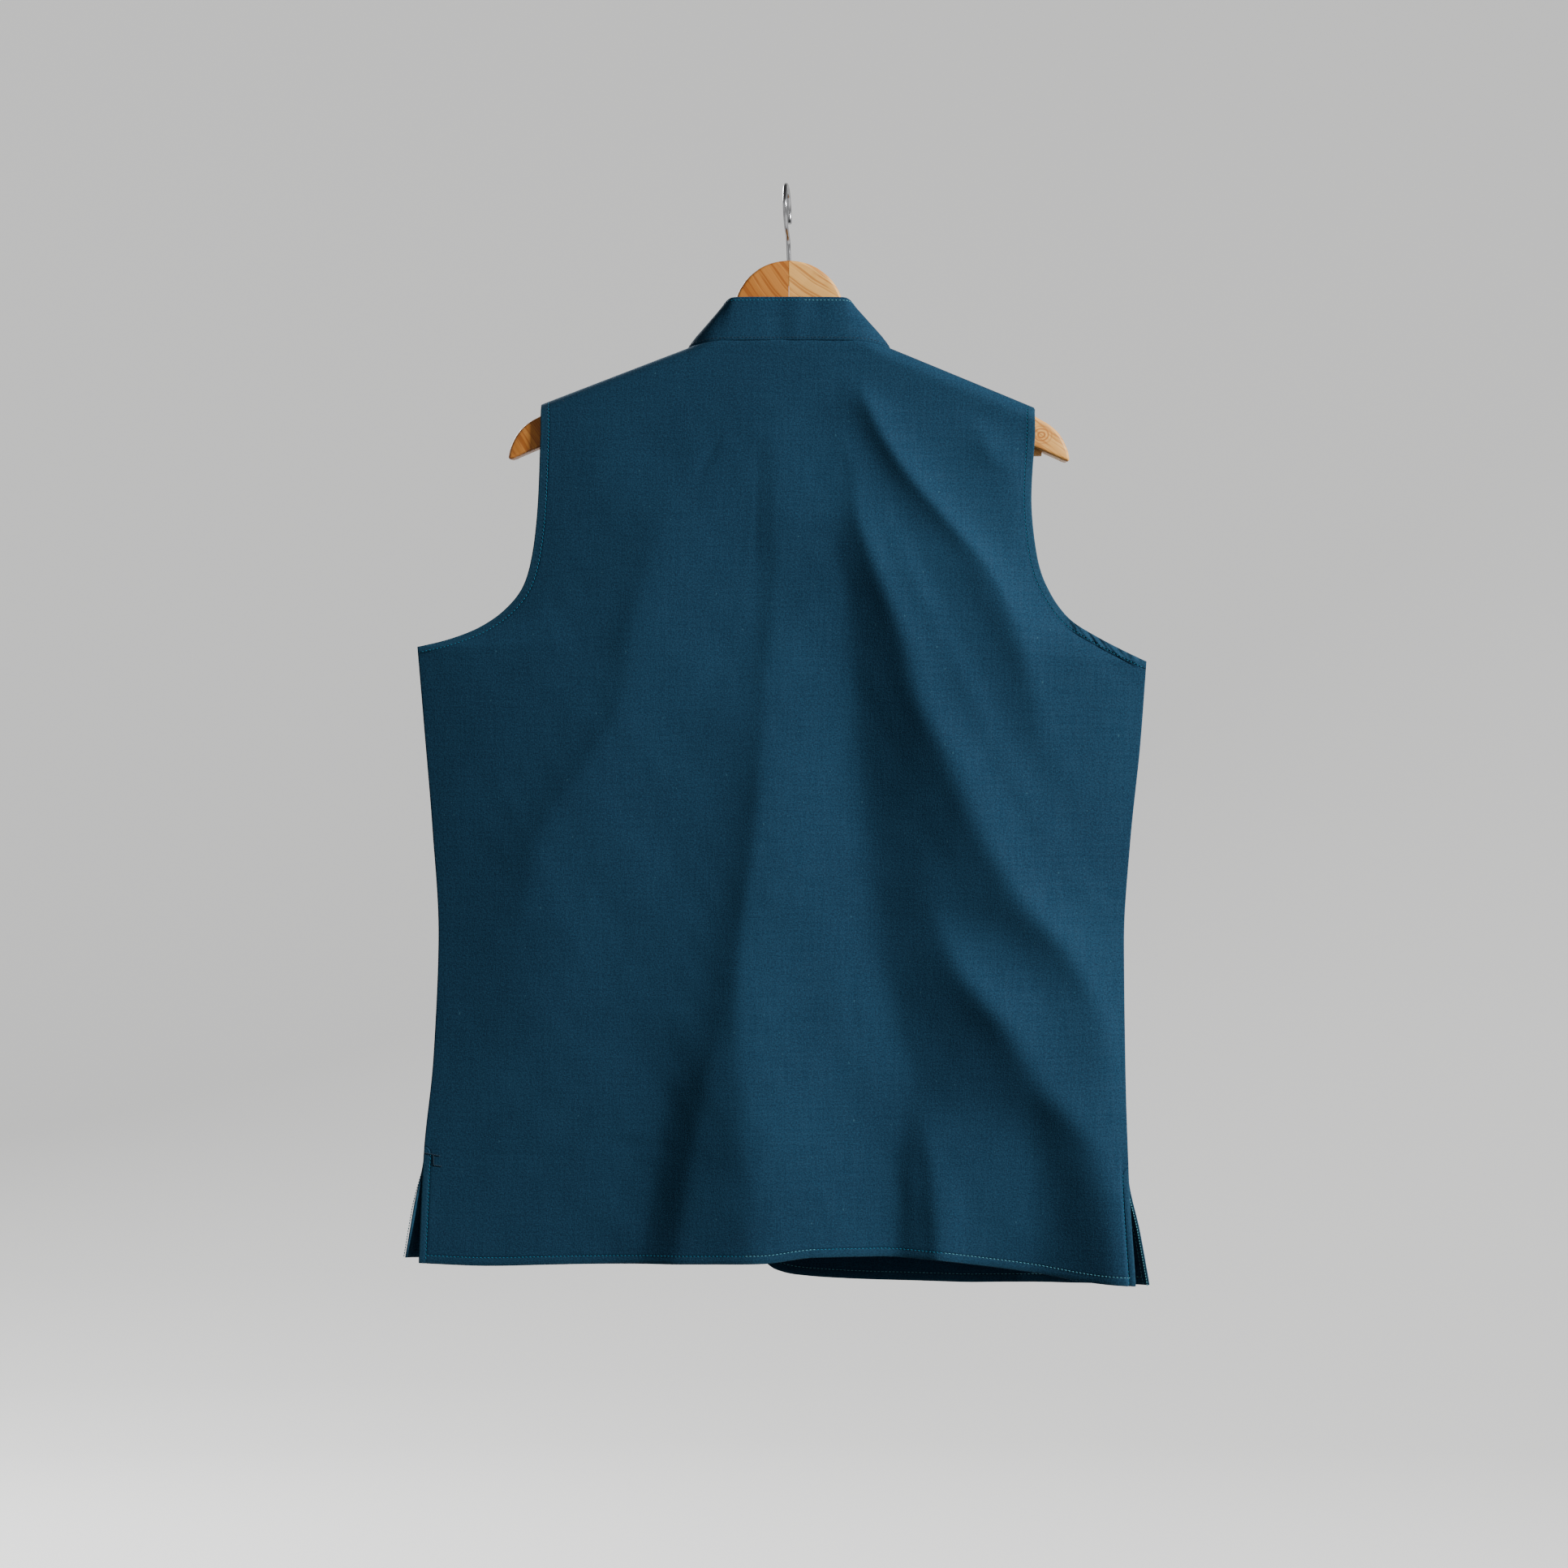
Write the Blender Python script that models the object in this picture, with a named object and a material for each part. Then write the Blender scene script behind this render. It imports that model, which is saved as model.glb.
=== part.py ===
"""A sleeveless nehru jacket, buttoned up and hung on a wooden hanger with a wire hook.

The frame has +Z up and its origin at the inside top of the hook, where a rail holds it. The jacket's back faces -Y
and its buttoned front +Y, so the wearer's left side is at -X. Lengths in the tables are millimetres at full size,
and each mesh is made in metres.
"""

import math
from collections import namedtuple

import bmesh
import bpy
import numpy as np
from mathutils import Matrix, Vector

MM = 0.001

# Cloth and sewing sizes
BODY_WALL = 1.6  # outer cloth with its interlining
COLLAR_WALL = 2.4  # two layers of cloth with a stiffener
SEAM_GAP = 0.3  # between the pieces that a seam joins
COLLAR_GAP = 0.5  # between the collar and the neck edge
CENTRE_X = 2.0  # the jacket hangs this far to the right of the hook's top
LAP_HALF = 20.0  # each front runs this far past the centre
LAP_LIFT = 1.2  # how far the upper front stands out, and the lower one in
NECK_HALF = 80.0  # from the centre to the point where shoulder and neck edge meet
SHOULDER_Z = -127.0  # height of that point
TIP_HALF = 194.5  # from the centre to the shoulder's end
LEFT_TIP_Z = -170.2
RIGHT_TIP_Z = -173.4

# Hanger sizes
ARM_SWEEP = 14.0  # the arms' ends come this far forward
ARM_REACH = 220.0  # from the middle to an arm's end
ARM_TILT = 0.004  # the left arm hangs a little higher than the right
JOINT_HALF_GAP = 0.15
BORE_TOP_Z = -50.0
BORE_SIDES, BAR_SIDES = 12, 16
BAR_RADIUS = 5.0
BAR_Z = -206.5
BAR_LEFT_X = -194.0
BAR_RIGHT_X = 201.6
WIRE_RADIUS = 1.7
HOOK_RADIUS = 20.0  # of the wire's middle line
HOOK_TURN = math.radians(85)  # the hook's plane against the arms
HOOK_FROM, HOOK_TO, HOOK_STEP = -25, 235, 13  # degrees round the hook's bow, from its open end
HOOK_STRAIGHT_Z = -47.0  # the wire is straight below this
HOOK_HANDLE = 7.0  # roundness of the bend between the bow and the straight
HOOK_BEND_PARTS = 5
WOOD_TOP_Z = -58.2
SHANK_END_Z = -78.0
FIT_GAP = 0.3

# Arch of the shoulders over the hanger
ARCH_HALF = 13.0  # half the arch's depth, front to back
ARCH_RISE = 11.0
YOKE_DROP = 22.0  # the wall's last straight row lies this far below the top edge
SEAM_AHEAD = 2.2  # the shoulder seam lies this far in front of the ridge

# Buttons
BUTTON_RADIUS = 9.0
BUTTON_DEPTH = 3.2
BUTTON_RIM = 1.5  # width of the raised rim
BUTTON_STAND_OFF = 0.4  # from the cloth
BUTTON_SIDES = 20
BUTTON_HEIGHTS = (-240.0, -338.0, -436.0, -534.0, -632.0)

# Level 0 is the hem, 1 the vents' top, 6 the underarm, 10 the yoke row and 11 the top edge.
HEM, VENT_TOP, UNDERARM, YOKE, TOP = 0.0, 1.0, 6.0, 10.0, 11.0
VENT_ROWS, SIDE_ROWS, ARMHOLE_ROWS, ARCH_ROWS = 3, 16, 12, 5

Level = namedtuple("Level", "q left_x left_z right_x right_z centre_z")
SIDE_LEVELS = (
    Level(0.0, -289.3, -847.4, 273.3, -863.4, -843.0),
    Level(1.0, -285.4, -761.0, 268.2, -777.0, -764.0),
    Level(2.0, -277.8, -684.2, 266.2, -692.0, -684.0),
    Level(3.0, -273.9, -588.2, 265.6, -598.0, -588.0),
    Level(4.0, -278.5, -508.0, 270.5, -518.0, -495.0),
    Level(5.0, -285.0, -428.2, 278.5, -440.0, -420.0),
    Level(6.0, -290.6, -362.2, 283.5, -373.8, -353.0),
)
ARMHOLE_LEVELS = (
    Level(6.0, -290.6, -362.2, 283.5, -373.8, -353.0),
    Level(6.8, -271.4, -357.8, 264.0, -364.5, -324.0),
    Level(7.5, -245.8, -348.8, 243.0, -353.5, -298.0),
    Level(8.1, -222.1, -333.4, 223.0, -340.5, -273.0),
    Level(8.7, -206.5, -313.0, 207.0, -319.0, -246.0),
    Level(9.2, -199.7, -287.4, 197.8, -293.8, -217.0),
    Level(9.6, -195.6, -249.0, 192.8, -246.0, -182.0),
    Level(10.0, -193.4, -192.2, 195.6, -195.4, -143.4),
)

# What the front's side edge adds to the back's: it fans out at the vents and its armhole is cut deeper.
FrontEdge = namedtuple("FrontEdge", "q left_dx left_dz right_dx right_dz")
FRONT_EDGE = (
    FrontEdge(0.0, -11.5, 4.0, 11.5, 0.5),
    FrontEdge(0.5, -6.0, 1.5, 6.5, 0.0),
    FrontEdge(1.0, 0.0, 0.0, 0.0, 0.0),
    FrontEdge(6.0, 0.0, 0.0, 0.0, 0.0),
    FrontEdge(7.5, 10.0, 0.0, -10.0, 0.0),
    FrontEdge(8.7, 13.0, 0.0, -13.0, 0.0),
    FrontEdge(9.6, 6.0, 0.0, -6.0, 0.0),
    FrontEdge(10.0, 0.0, 0.0, 0.0, 0.0),
)

# Where the outer faces lie front to back, at the side edges and in the middle.
Depth = namedtuple("Depth", "q back_edge back_middle front_edge front_middle front_z")
DEPTHS = (
    Depth(0.0, -3.5, -15.0, 9.0, 31.0, -848.0),
    Depth(1.0, -1.75, -16.0, 1.75, 33.0, -768.0),
    Depth(2.0, -1.75, -17.0, 1.75, 34.0, -690.0),
    Depth(3.0, -1.75, -18.5, 1.75, 34.0, -605.0),
    Depth(4.0, -1.75, -19.5, 1.75, 33.0, -525.0),
    Depth(5.0, -1.75, -20.0, 1.75, 32.0, -450.0),
    Depth(6.0, -1.75, -19.5, 1.75, 31.0, -380.0),
    Depth(7.5, -3.0, -19.0, 9.0, 30.0, -320.0),
    Depth(8.7, -4.5, -17.5, 15.0, 29.5, -275.0),
    Depth(9.6, -4.0, -15.5, 21.0, 29.5, -243.0),
    Depth(10.0, -2.1, -13.0, 23.9, 29.5, -230.5),
)
# Powers of the wall's curve from side to side
BACK_ROUND, FRONT_ROUND = 3.4, 2.4
ROW_ROUND = 1.6  # power of the rows' own curve, which leaves the side edges level
EDGE_HOLD_BACK, EDGE_HOLD_FRONT = 14, 6  # powers with which the folds die out at the side edges
FOLD_FALL, FOLD_SOFT = 1.2, 0.25  # how fast a fold falls off from its crest, and how round the crest is
HEM_FADE = 1.5  # the hem's own line has faded out at this level
LEAN_FROM = 5.0  # a front's columns lean towards the neck from this level
BACK_WALL_FROM, FRONT_WALL_FROM = 8.2, 9.0  # the cloth turns into the arch's straight wall from these levels
FOLD_END_FROM = 9.7  # the back's folds die out from this level to the yoke row
LAP_FLAT, LAP_GONE = 26.0, 70.0  # the lap's lift is whole this near the centre, and gone this far from it

HemPoint = namedtuple("HemPoint", "x z")
BACK_HEM = (
    HemPoint(-289.3, -847.4),
    HemPoint(-236.2, -849.2),
    HemPoint(-178.6, -847.8),
    HemPoint(-57.0, -845.9),
    HemPoint(-19.2, -845.3),
    HemPoint(23.0, -841.0),
    HemPoint(71.0, -840.8),
    HemPoint(114.6, -843.2),
    HemPoint(148.5, -847.4),
    HemPoint(194.6, -853.7),
    HemPoint(240.0, -860.8),
    HemPoint(273.3, -863.4),
)
LEFT_HEM = (
    HemPoint(-300.8, -843.4),
    HemPoint(-200.0, -846.0),
    HemPoint(-60.0, -847.0),
    HemPoint(22.0, -845.0),
)
RIGHT_HEM = (
    HemPoint(-18.0, -848.5),
    HemPoint(-9.0, -855.0),
    HemPoint(6.0, -859.0),
    HemPoint(34.6, -861.5),
    HemPoint(80.0, -863.2),
    HemPoint(171.5, -864.0),
    HemPoint(240.0, -863.2),
    HemPoint(284.8, -862.9),
)

# Half of the neck, from the centre back (step 0) round to the centre front (step 213): the seam, the collar's top
# edge, and how far the band bulges out between them.
Neck = namedtuple("Neck", "step seam_x seam_y seam_z top_x top_y top_z bulge")
NECK = (
    Neck(0.0, 0.0, -13.0, -121.4, 0.0, -10.6, -88.0, 0.0),
    Neck(24.0, 24.0, -13.0, -121.4, 24.0, -10.6, -88.0, 0.0),
    Neck(46.0, 46.0, -12.6, -121.5, 43.5, -9.2, -88.1, 0.3),
    Neck(59.0, 59.0, -10.8, -122.0, 48.6, -4.0, -89.2, 2.2),
    Neck(70.0, 70.0, -6.0, -123.6, 51.2, 2.5, -94.0, 4.2),
    Neck(81.0, 80.0, 4.05, -127.0, 52.8, 8.5, -104.5, 4.4),
    Neck(87.0, 81.2, 11.6, -131.0, 52.8, 12.0, -111.5, 4.2),
    Neck(94.0, 81.5, 14.7, -138.0, 51.8, 15.0, -120.0, 3.2),
    Neck(112.0, 79.0, 17.5, -155.0, 47.5, 20.0, -137.5, 1.6),
    Neck(131.0, 71.0, 20.5, -172.0, 40.5, 26.0, -153.0, 0.0),
    Neck(152.0, 57.0, 24.5, -187.0, 31.0, 32.0, -165.0, 0.0),
    Neck(174.0, 39.0, 28.0, -199.0, 19.0, 36.5, -172.5, 0.0),
    Neck(194.0, 20.0, 29.4, -206.0, 10.0, 38.5, -175.5, 0.0),
    Neck(213.0, 0.75, 29.5, -208.5, 0.75, 39.0, -176.5, 0.0),
)
NECK_POINT_STEP, NECK_END_STEP = 81.0, 213.0
# How far further out a front's yoke row lies than its top edge, at places along that edge
YokeOut = namedtuple("YokeOut", "place out")
YOKE_OUT = (
    YokeOut(0.0, 0.0),
    YokeOut(0.35, 2.0),
    YokeOut(1.0, 25.0),
    YokeOut(1.05, 20.5),
    YokeOut(1.1, 17.0),
    YokeOut(1.18, 14.0),
    YokeOut(1.28, 12.0),
    YokeOut(1.38, 10.0),
    YokeOut(1.5, 7.5),
    YokeOut(1.75, 3.0),
    YokeOut(2.0, 0.0),
)
# How far across a front its columns stand below the armhole, from the side edge at 0 to the centre edge at 1
Column = namedtuple("Column", "place share")
FRONT_COLUMNS = (Column(0.0, 0.0), Column(1.0, 0.46), Column(2.0, 0.93), Column(3.0, 1.0))
LAP_END_Z = -209.6  # height of the front's top corner, past the centre
CENTRE_PLACE = 2.5  # the column on the centre line, where the buttons are
NECK_STEPS_FRONT = (81.0, 87.0, 94.0, 105.0, 118.0, 131.0, 145.0, 159.0, 174.0, 188.0, 201.0, 213.0)
NECK_COLUMNS_BACK, SHOULDER_COLUMNS, COLLAR_ROWS = 14, 8, 4

# How far the lower right side swings out behind, back and front together
Swing = namedtuple("Swing", "z depth")
RIGHT_SWING = (
    Swing(-540.0, 0.0),
    Swing(-607.0, 4.0),
    Swing(-659.0, 9.0),
    Swing(-710.0, 14.0),
    Swing(-761.0, 19.0),
    Swing(-850.0, 23.0),
)
SWING_FROM, SWING_TO = 188.0, 260.0

# Folds of the cloth, each running down through its rows: its middle, how wide its left and its right flank are, and
# how deep it is. They stand out from the back, where a depth below zero is a valley, and go in on the fronts.
Fold = namedtuple("Fold", "z x left right depth")
BACK_FOLDS = (
    (
        Fold(-185.0, -12.0, 12.0, 60.0, 0.0),
        Fold(-223.0, -8.0, 12.0, 60.0, 1.6),
        Fold(-300.0, -8.0, 13.0, 70.0, 2.4),
        Fold(-351.0, -10.0, 15.0, 75.0, 3.2),
        Fold(-403.0, -16.0, 18.0, 80.0, 4.2),
        Fold(-454.0, -18.0, 20.0, 80.0, 6.0),
        Fold(-505.0, -22.0, 22.0, 85.0, 8.0),
        Fold(-556.0, -29.0, 22.0, 90.0, 9.5),
        Fold(-607.0, -35.0, 26.0, 95.0, 11.0),
        Fold(-659.0, -36.0, 34.0, 100.0, 13.0),
        Fold(-710.0, -31.0, 50.0, 100.0, 15.0),
        Fold(-761.0, -26.0, 62.0, 100.0, 17.0),
        Fold(-850.0, -22.0, 66.0, 100.0, 17.0),
    ),
    (
        Fold(-600.0, -46.0, 18.0, 50.0, 0.0),
        Fold(-659.0, -51.0, 18.0, 50.0, 2.0),
        Fold(-710.0, -62.0, 26.0, 70.0, 6.0),
        Fold(-761.0, -72.0, 30.0, 80.0, 8.0),
        Fold(-812.0, -80.0, 32.0, 84.0, 8.0),
        Fold(-850.0, -86.0, 34.0, 84.0, 8.0),
    ),
    (
        Fold(-650.0, -92.0, 90.0, 30.0, 0.0),
        Fold(-710.0, -97.0, 100.0, 34.0, -3.5),
        Fold(-761.0, -104.0, 120.0, 38.0, -6.5),
        Fold(-812.0, -112.0, 120.0, 40.0, -7.5),
        Fold(-850.0, -118.0, 120.0, 40.0, -7.5),
    ),
    (
        Fold(-262.0, 36.0, 36.0, 16.0, 0.0),
        Fold(-300.0, 42.0, 44.0, 20.0, -3.0),
        Fold(-351.0, 48.0, 52.0, 30.0, -6.0),
        Fold(-403.0, 51.0, 56.0, 40.0, -8.0),
        Fold(-454.0, 55.0, 60.0, 50.0, -10.0),
        Fold(-505.0, 60.0, 60.0, 55.0, -12.0),
        Fold(-556.0, 66.0, 60.0, 60.0, -12.0),
        Fold(-607.0, 72.0, 62.0, 50.0, -11.0),
        Fold(-659.0, 84.0, 66.0, 50.0, -9.0),
        Fold(-710.0, 96.0, 70.0, 50.0, -8.0),
        Fold(-761.0, 86.0, 62.0, 34.0, -8.0),
        Fold(-850.0, 84.0, 60.0, 30.0, -8.0),
    ),
    (
        Fold(-190.0, 39.0, 14.0, 14.0, 0.0),
        Fold(-223.0, 52.0, 14.0, 16.0, 1.5),
        Fold(-262.0, 57.0, 15.0, 20.0, 4.5),
        Fold(-300.0, 70.0, 22.0, 26.0, 9.0),
        Fold(-351.0, 90.0, 28.0, 32.0, 11.0),
        Fold(-403.0, 104.0, 34.0, 36.0, 12.5),
        Fold(-454.0, 129.0, 44.0, 40.0, 14.0),
        Fold(-505.0, 151.0, 50.0, 45.0, 14.5),
        Fold(-556.0, 179.0, 58.0, 40.0, 15.0),
        Fold(-607.0, 223.0, 44.0, 36.0, 12.0),
        Fold(-659.0, 250.0, 36.0, 26.0, 8.0),
        Fold(-700.0, 258.0, 32.0, 20.0, 4.0),
        Fold(-740.0, 262.0, 28.0, 16.0, 0.0),
    ),
    (
        Fold(-530.0, 103.0, 30.0, 26.0, 0.0),
        Fold(-570.0, 116.0, 30.0, 26.0, 3.0),
        Fold(-607.0, 130.0, 36.0, 34.0, 9.0),
        Fold(-659.0, 170.0, 44.0, 50.0, 17.0),
        Fold(-710.0, 202.0, 54.0, 56.0, 17.0),
        Fold(-761.0, 241.0, 60.0, 44.0, 12.0),
        Fold(-812.0, 252.0, 60.0, 36.0, 9.0),
        Fold(-850.0, 257.0, 56.0, 30.0, 7.0),
    ),
    (
        Fold(-140.0, 52.0, 12.0, 12.0, 0.8),
        Fold(-185.0, 70.0, 16.0, 18.0, 7.0),
        Fold(-223.0, 93.0, 20.0, 20.0, 10.0),
        Fold(-262.0, 125.0, 28.0, 20.0, 10.5),
        Fold(-300.0, 157.0, 34.0, 18.0, 9.5),
        Fold(-351.0, 181.0, 34.0, 22.0, 8.5),
        Fold(-403.0, 194.0, 30.0, 30.0, 5.0),
        Fold(-454.0, 205.0, 26.0, 40.0, 2.0),
        Fold(-500.0, 215.0, 26.0, 40.0, 0.0),
    ),
    (
        Fold(-155.0, 140.0, 12.0, 12.0, 0.0),
        Fold(-185.0, 152.0, 14.0, 14.0, 6.0),
        Fold(-225.0, 166.0, 14.0, 14.0, 0.0),
    ),
    (
        Fold(-165.0, 176.0, 30.0, 12.0, 0.0),
        Fold(-200.0, 181.0, 40.0, 12.0, 3.5),
        Fold(-240.0, 184.0, 44.0, 12.0, 4.5),
        Fold(-280.0, 187.0, 36.0, 12.0, 3.0),
        Fold(-315.0, 190.0, 30.0, 12.0, 0.0),
    ),
    (
        Fold(-210.0, -89.0, 26.0, 60.0, 0.0),
        Fold(-262.0, -94.0, 26.0, 60.0, 2.2),
        Fold(-300.0, -105.0, 26.0, 64.0, 3.2),
        Fold(-351.0, -121.0, 26.0, 70.0, 5.0),
        Fold(-403.0, -127.0, 26.0, 70.0, 5.0),
        Fold(-454.0, -154.0, 26.0, 70.0, 4.5),
        Fold(-505.0, -190.0, 26.0, 60.0, 4.0),
        Fold(-556.0, -204.0, 26.0, 50.0, 2.0),
        Fold(-620.0, -215.0, 26.0, 50.0, 0.0),
    ),
    (
        Fold(-715.0, 104.0, 16.0, 20.0, 0.0),
        Fold(-761.0, 112.0, 16.0, 20.0, 3.5),
        Fold(-812.0, 118.0, 18.0, 22.0, 6.0),
        Fold(-850.0, 119.0, 18.0, 22.0, 6.0),
    ),
)
FRONT_FOLDS = (
    (
        Fold(-190.0, -104.0, 16.0, 18.0, 0.0),
        Fold(-280.0, -112.0, 22.0, 30.0, 5.0),
        Fold(-450.0, -126.0, 26.0, 46.0, 9.0),
        Fold(-640.0, -140.0, 30.0, 56.0, 10.0),
        Fold(-850.0, -160.0, 32.0, 60.0, 9.0),
    ),
    (
        Fold(-200.0, 96.0, 18.0, 14.0, 0.0),
        Fold(-300.0, 110.0, 34.0, 20.0, 6.0),
        Fold(-470.0, 138.0, 52.0, 24.0, 10.0),
        Fold(-650.0, 150.0, 58.0, 26.0, 8.0),
        Fold(-850.0, 144.0, 54.0, 28.0, 11.0),
    ),
    (
        Fold(-430.0, 214.0, 26.0, 14.0, 0.0),
        Fold(-600.0, 206.0, 34.0, 18.0, 5.0),
        Fold(-850.0, 222.0, 36.0, 20.0, 6.0),
    ),
)

# One wooden arm from the middle to its end: its top and bottom, and half its thickness.
Arm = namedtuple("Arm", "reach top bottom half")
ARM = (
    Arm(0.0, -58.2, -108.0, 7.0),
    Arm(15.0, -60.9, -110.0, 7.0),
    Arm(27.0, -67.5, -114.0, 7.0),
    Arm(36.0, -77.0, -118.5, 7.0),
    Arm(40.8, -86.2, -121.5, 7.0),
    Arm(43.2, -95.6, -123.5, 7.0),
    Arm(44.6, -104.0, -124.6, 7.0),
    Arm(47.5, -112.0, -126.8, 7.0),
    Arm(54.0, -120.0, -131.5, 7.2),
    Arm(66.0, -125.6, -141.0, 7.4),
    Arm(80.0, -129.6, -150.0, 7.6),
    Arm(100.0, -137.4, -161.5, 8.0),
    Arm(120.0, -145.3, -171.5, 8.5),
    Arm(150.0, -157.2, -185.5, 9.2),
    Arm(172.0, -166.8, -195.2, 9.8),
    Arm(186.0, -174.6, -201.2, 10.0),
    Arm(196.0, -181.8, -205.4, 10.0),
    Arm(206.0, -191.2, -209.6, 9.2),
    Arm(214.0, -202.4, -213.0, 7.4),
    Arm(219.0, -212.0, -215.4, 4.0),
    Arm(ARM_REACH, -215.0, -216.3, 1.6),
)
ARM_SIDES = 14
ARM_SQUARENESS = 2.6


def column(table, name):
    """One named column of a table."""
    return np.array([getattr(row, name) for row in table])


def through(keys, values, at):
    """A smooth curve through a table's column, which never overshoots it."""
    keys = np.asarray(keys, dtype=float)
    values = np.asarray(values, dtype=float)
    steps = np.diff(keys)
    slopes = np.diff(values) / steps
    product = slopes[:-1] * slopes[1:]
    total = slopes[:-1] + slopes[1:]
    inner = np.where(product > 0, 2 * product / np.where(total == 0, 1, total), 0)
    tangents = np.concatenate([slopes[:1], inner, slopes[-1:]])
    at = np.clip(np.asarray(at, dtype=float), keys[0], keys[-1])
    index = np.clip(np.searchsorted(keys, at, side="right") - 1, 0, len(keys) - 2)
    step = steps[index]
    t = (at - keys[index]) / step
    start = values[index] * (1 + 2 * t) * (1 - t) ** 2 + tangents[index] * step * t * (1 - t) ** 2
    end = values[index + 1] * t**2 * (3 - 2 * t) - tangents[index + 1] * step * t**2 * (1 - t)
    return start + end


def ease(low, high, value):
    """0 below low, 1 above high and a smooth step between them."""
    t = np.clip((value - low) / (high - low), 0, 1)
    return t * t * (3 - 2 * t)


def fold_depth(folds, x, z):
    """How far the folds move the cloth at each point."""
    total = np.zeros_like(x)
    for rows in folds:
        keys = -column(rows, "z")
        middle = through(keys, column(rows, "x"), -z)
        left = through(keys, column(rows, "left"), -z)
        right = through(keys, column(rows, "right"), -z)
        depth = through(keys, column(rows, "depth"), -z)
        away = x - middle
        across = away / np.where(away < 0, left, right)
        total += depth * np.exp(-FOLD_FALL * (np.hypot(across, FOLD_SOFT) - FOLD_SOFT))
    return total


def side_edge(name, q):
    """A side edge's coordinate at each level, with a corner at the underarm."""
    below = through(column(SIDE_LEVELS, "q"), column(SIDE_LEVELS, name), q)
    above = through(column(ARMHOLE_LEVELS, "q"), column(ARMHOLE_LEVELS, name), q)
    return np.where(q < UNDERARM, below, above)


def depth_at(name, q):
    """One column of the depths table at each level."""
    return through(column(DEPTHS, "q"), column(DEPTHS, name), q)


def sweep(x):
    """How far forward the hanger's arms carry the shoulders."""
    return ARM_SWEEP * ((x - CENTRE_X) / ARM_REACH) ** 2


def shoulder_z(x):
    """Height of the shoulder line."""
    share = (np.abs(x - CENTRE_X) - NECK_HALF) / (TIP_HALF - NECK_HALF)
    tip = np.where(x < CENTRE_X, LEFT_TIP_Z, RIGHT_TIP_Z)
    return SHOULDER_Z + share * (tip - SHOULDER_Z)


def neck_at(name, step):
    """One column of the neck table at each step."""
    return through(column(NECK, "step"), column(NECK, name), step)


def arch(wall_y, edge_y, edge_z, ridge_y, w):
    """A column's last stretch, straight up the wall and then over the arch to the top edge."""
    half = np.abs(wall_y - ridge_y)
    facing = np.sign(wall_y - ridge_y)
    lean = np.clip((edge_y - ridge_y) * facing / half, -1, 1)
    last = np.arccos(lean)
    arc_foot = edge_z - ARCH_RISE * np.sin(last)
    straight = arc_foot - (edge_z - YOKE_DROP)
    radius = (half + ARCH_RISE) / 2
    along = w * (straight + radius * last)
    angle = np.clip((along - straight) / radius, 0, None)
    y = ridge_y + facing * half * np.cos(angle)
    z = np.where(along < straight, arc_foot - straight + along, arc_foot + ARCH_RISE * np.sin(angle))
    return y, z


def row_heights(q, inward, edge_height, middle_height, hem_z, yoke_z):
    """Heights of rows below the arch, from the side edge (inward 0) to the middle (inward 1)."""

    def plain(level):
        return edge_height(level) + (middle_height(level) - edge_height(level)) * inward

    def climbed(height):
        low, high = height(UNDERARM), height(YOKE)
        return (height(q) - low) / (high - low)

    below = plain(np.minimum(q, UNDERARM)) + (hem_z - plain(HEM)) * (1 - ease(HEM, HEM_FADE, q))
    climb = climbed(edge_height) + (climbed(middle_height) - climbed(edge_height)) * inward
    return np.where(q < UNDERARM, below, below + (yoke_z - below) * climb)


def back_columns():
    """Places across the back, from -1 to 1, with one on each point where shoulder and neck edge meet."""
    left, right = side_edge("left_x", YOKE), side_edge("right_x", YOKE)
    middle, half = (left + right) / 2, (right - left) / 2
    left_neck = (CENTRE_X - NECK_HALF - middle) / half
    right_neck = (CENTRE_X + NECK_HALF - middle) / half
    parts = (
        np.linspace(-1, left_neck, SHOULDER_COLUMNS + 1)[:-1],
        np.linspace(left_neck, right_neck, NECK_COLUMNS_BACK + 1)[:-1],
        np.linspace(right_neck, 1, SHOULDER_COLUMNS + 1),
    )
    return np.concatenate(parts)


def levels():
    """The levels of the rows, from the hem up to the top edge."""
    parts = (
        np.linspace(HEM, VENT_TOP, VENT_ROWS + 1)[:-1],
        np.linspace(VENT_TOP, UNDERARM, SIDE_ROWS + 1)[:-1],
        np.linspace(UNDERARM, YOKE, ARMHOLE_ROWS + 1)[:-1],
        np.linspace(YOKE, TOP, ARCH_ROWS + 1),
    )
    return np.concatenate(parts)


def back_neck_step(half):
    """The neck's step at a distance from the centre, on the back's part of the neck."""
    steps = np.linspace(0, NECK_POINT_STEP, 82)
    return np.interp(half, neck_at("seam_x", steps), steps)


def back_edge(x):
    """The back's top edge, along one shoulder, the neck and the other shoulder."""
    half = np.abs(x - CENTRE_X)
    in_neck = half < NECK_HALF - 1e-6
    steps = back_neck_step(half)
    y = np.where(in_neck, neck_at("seam_y", steps), sweep(x) + SEAM_AHEAD)
    z = np.where(in_neck, neck_at("seam_z", steps), shoulder_z(x))
    return y, z


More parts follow.
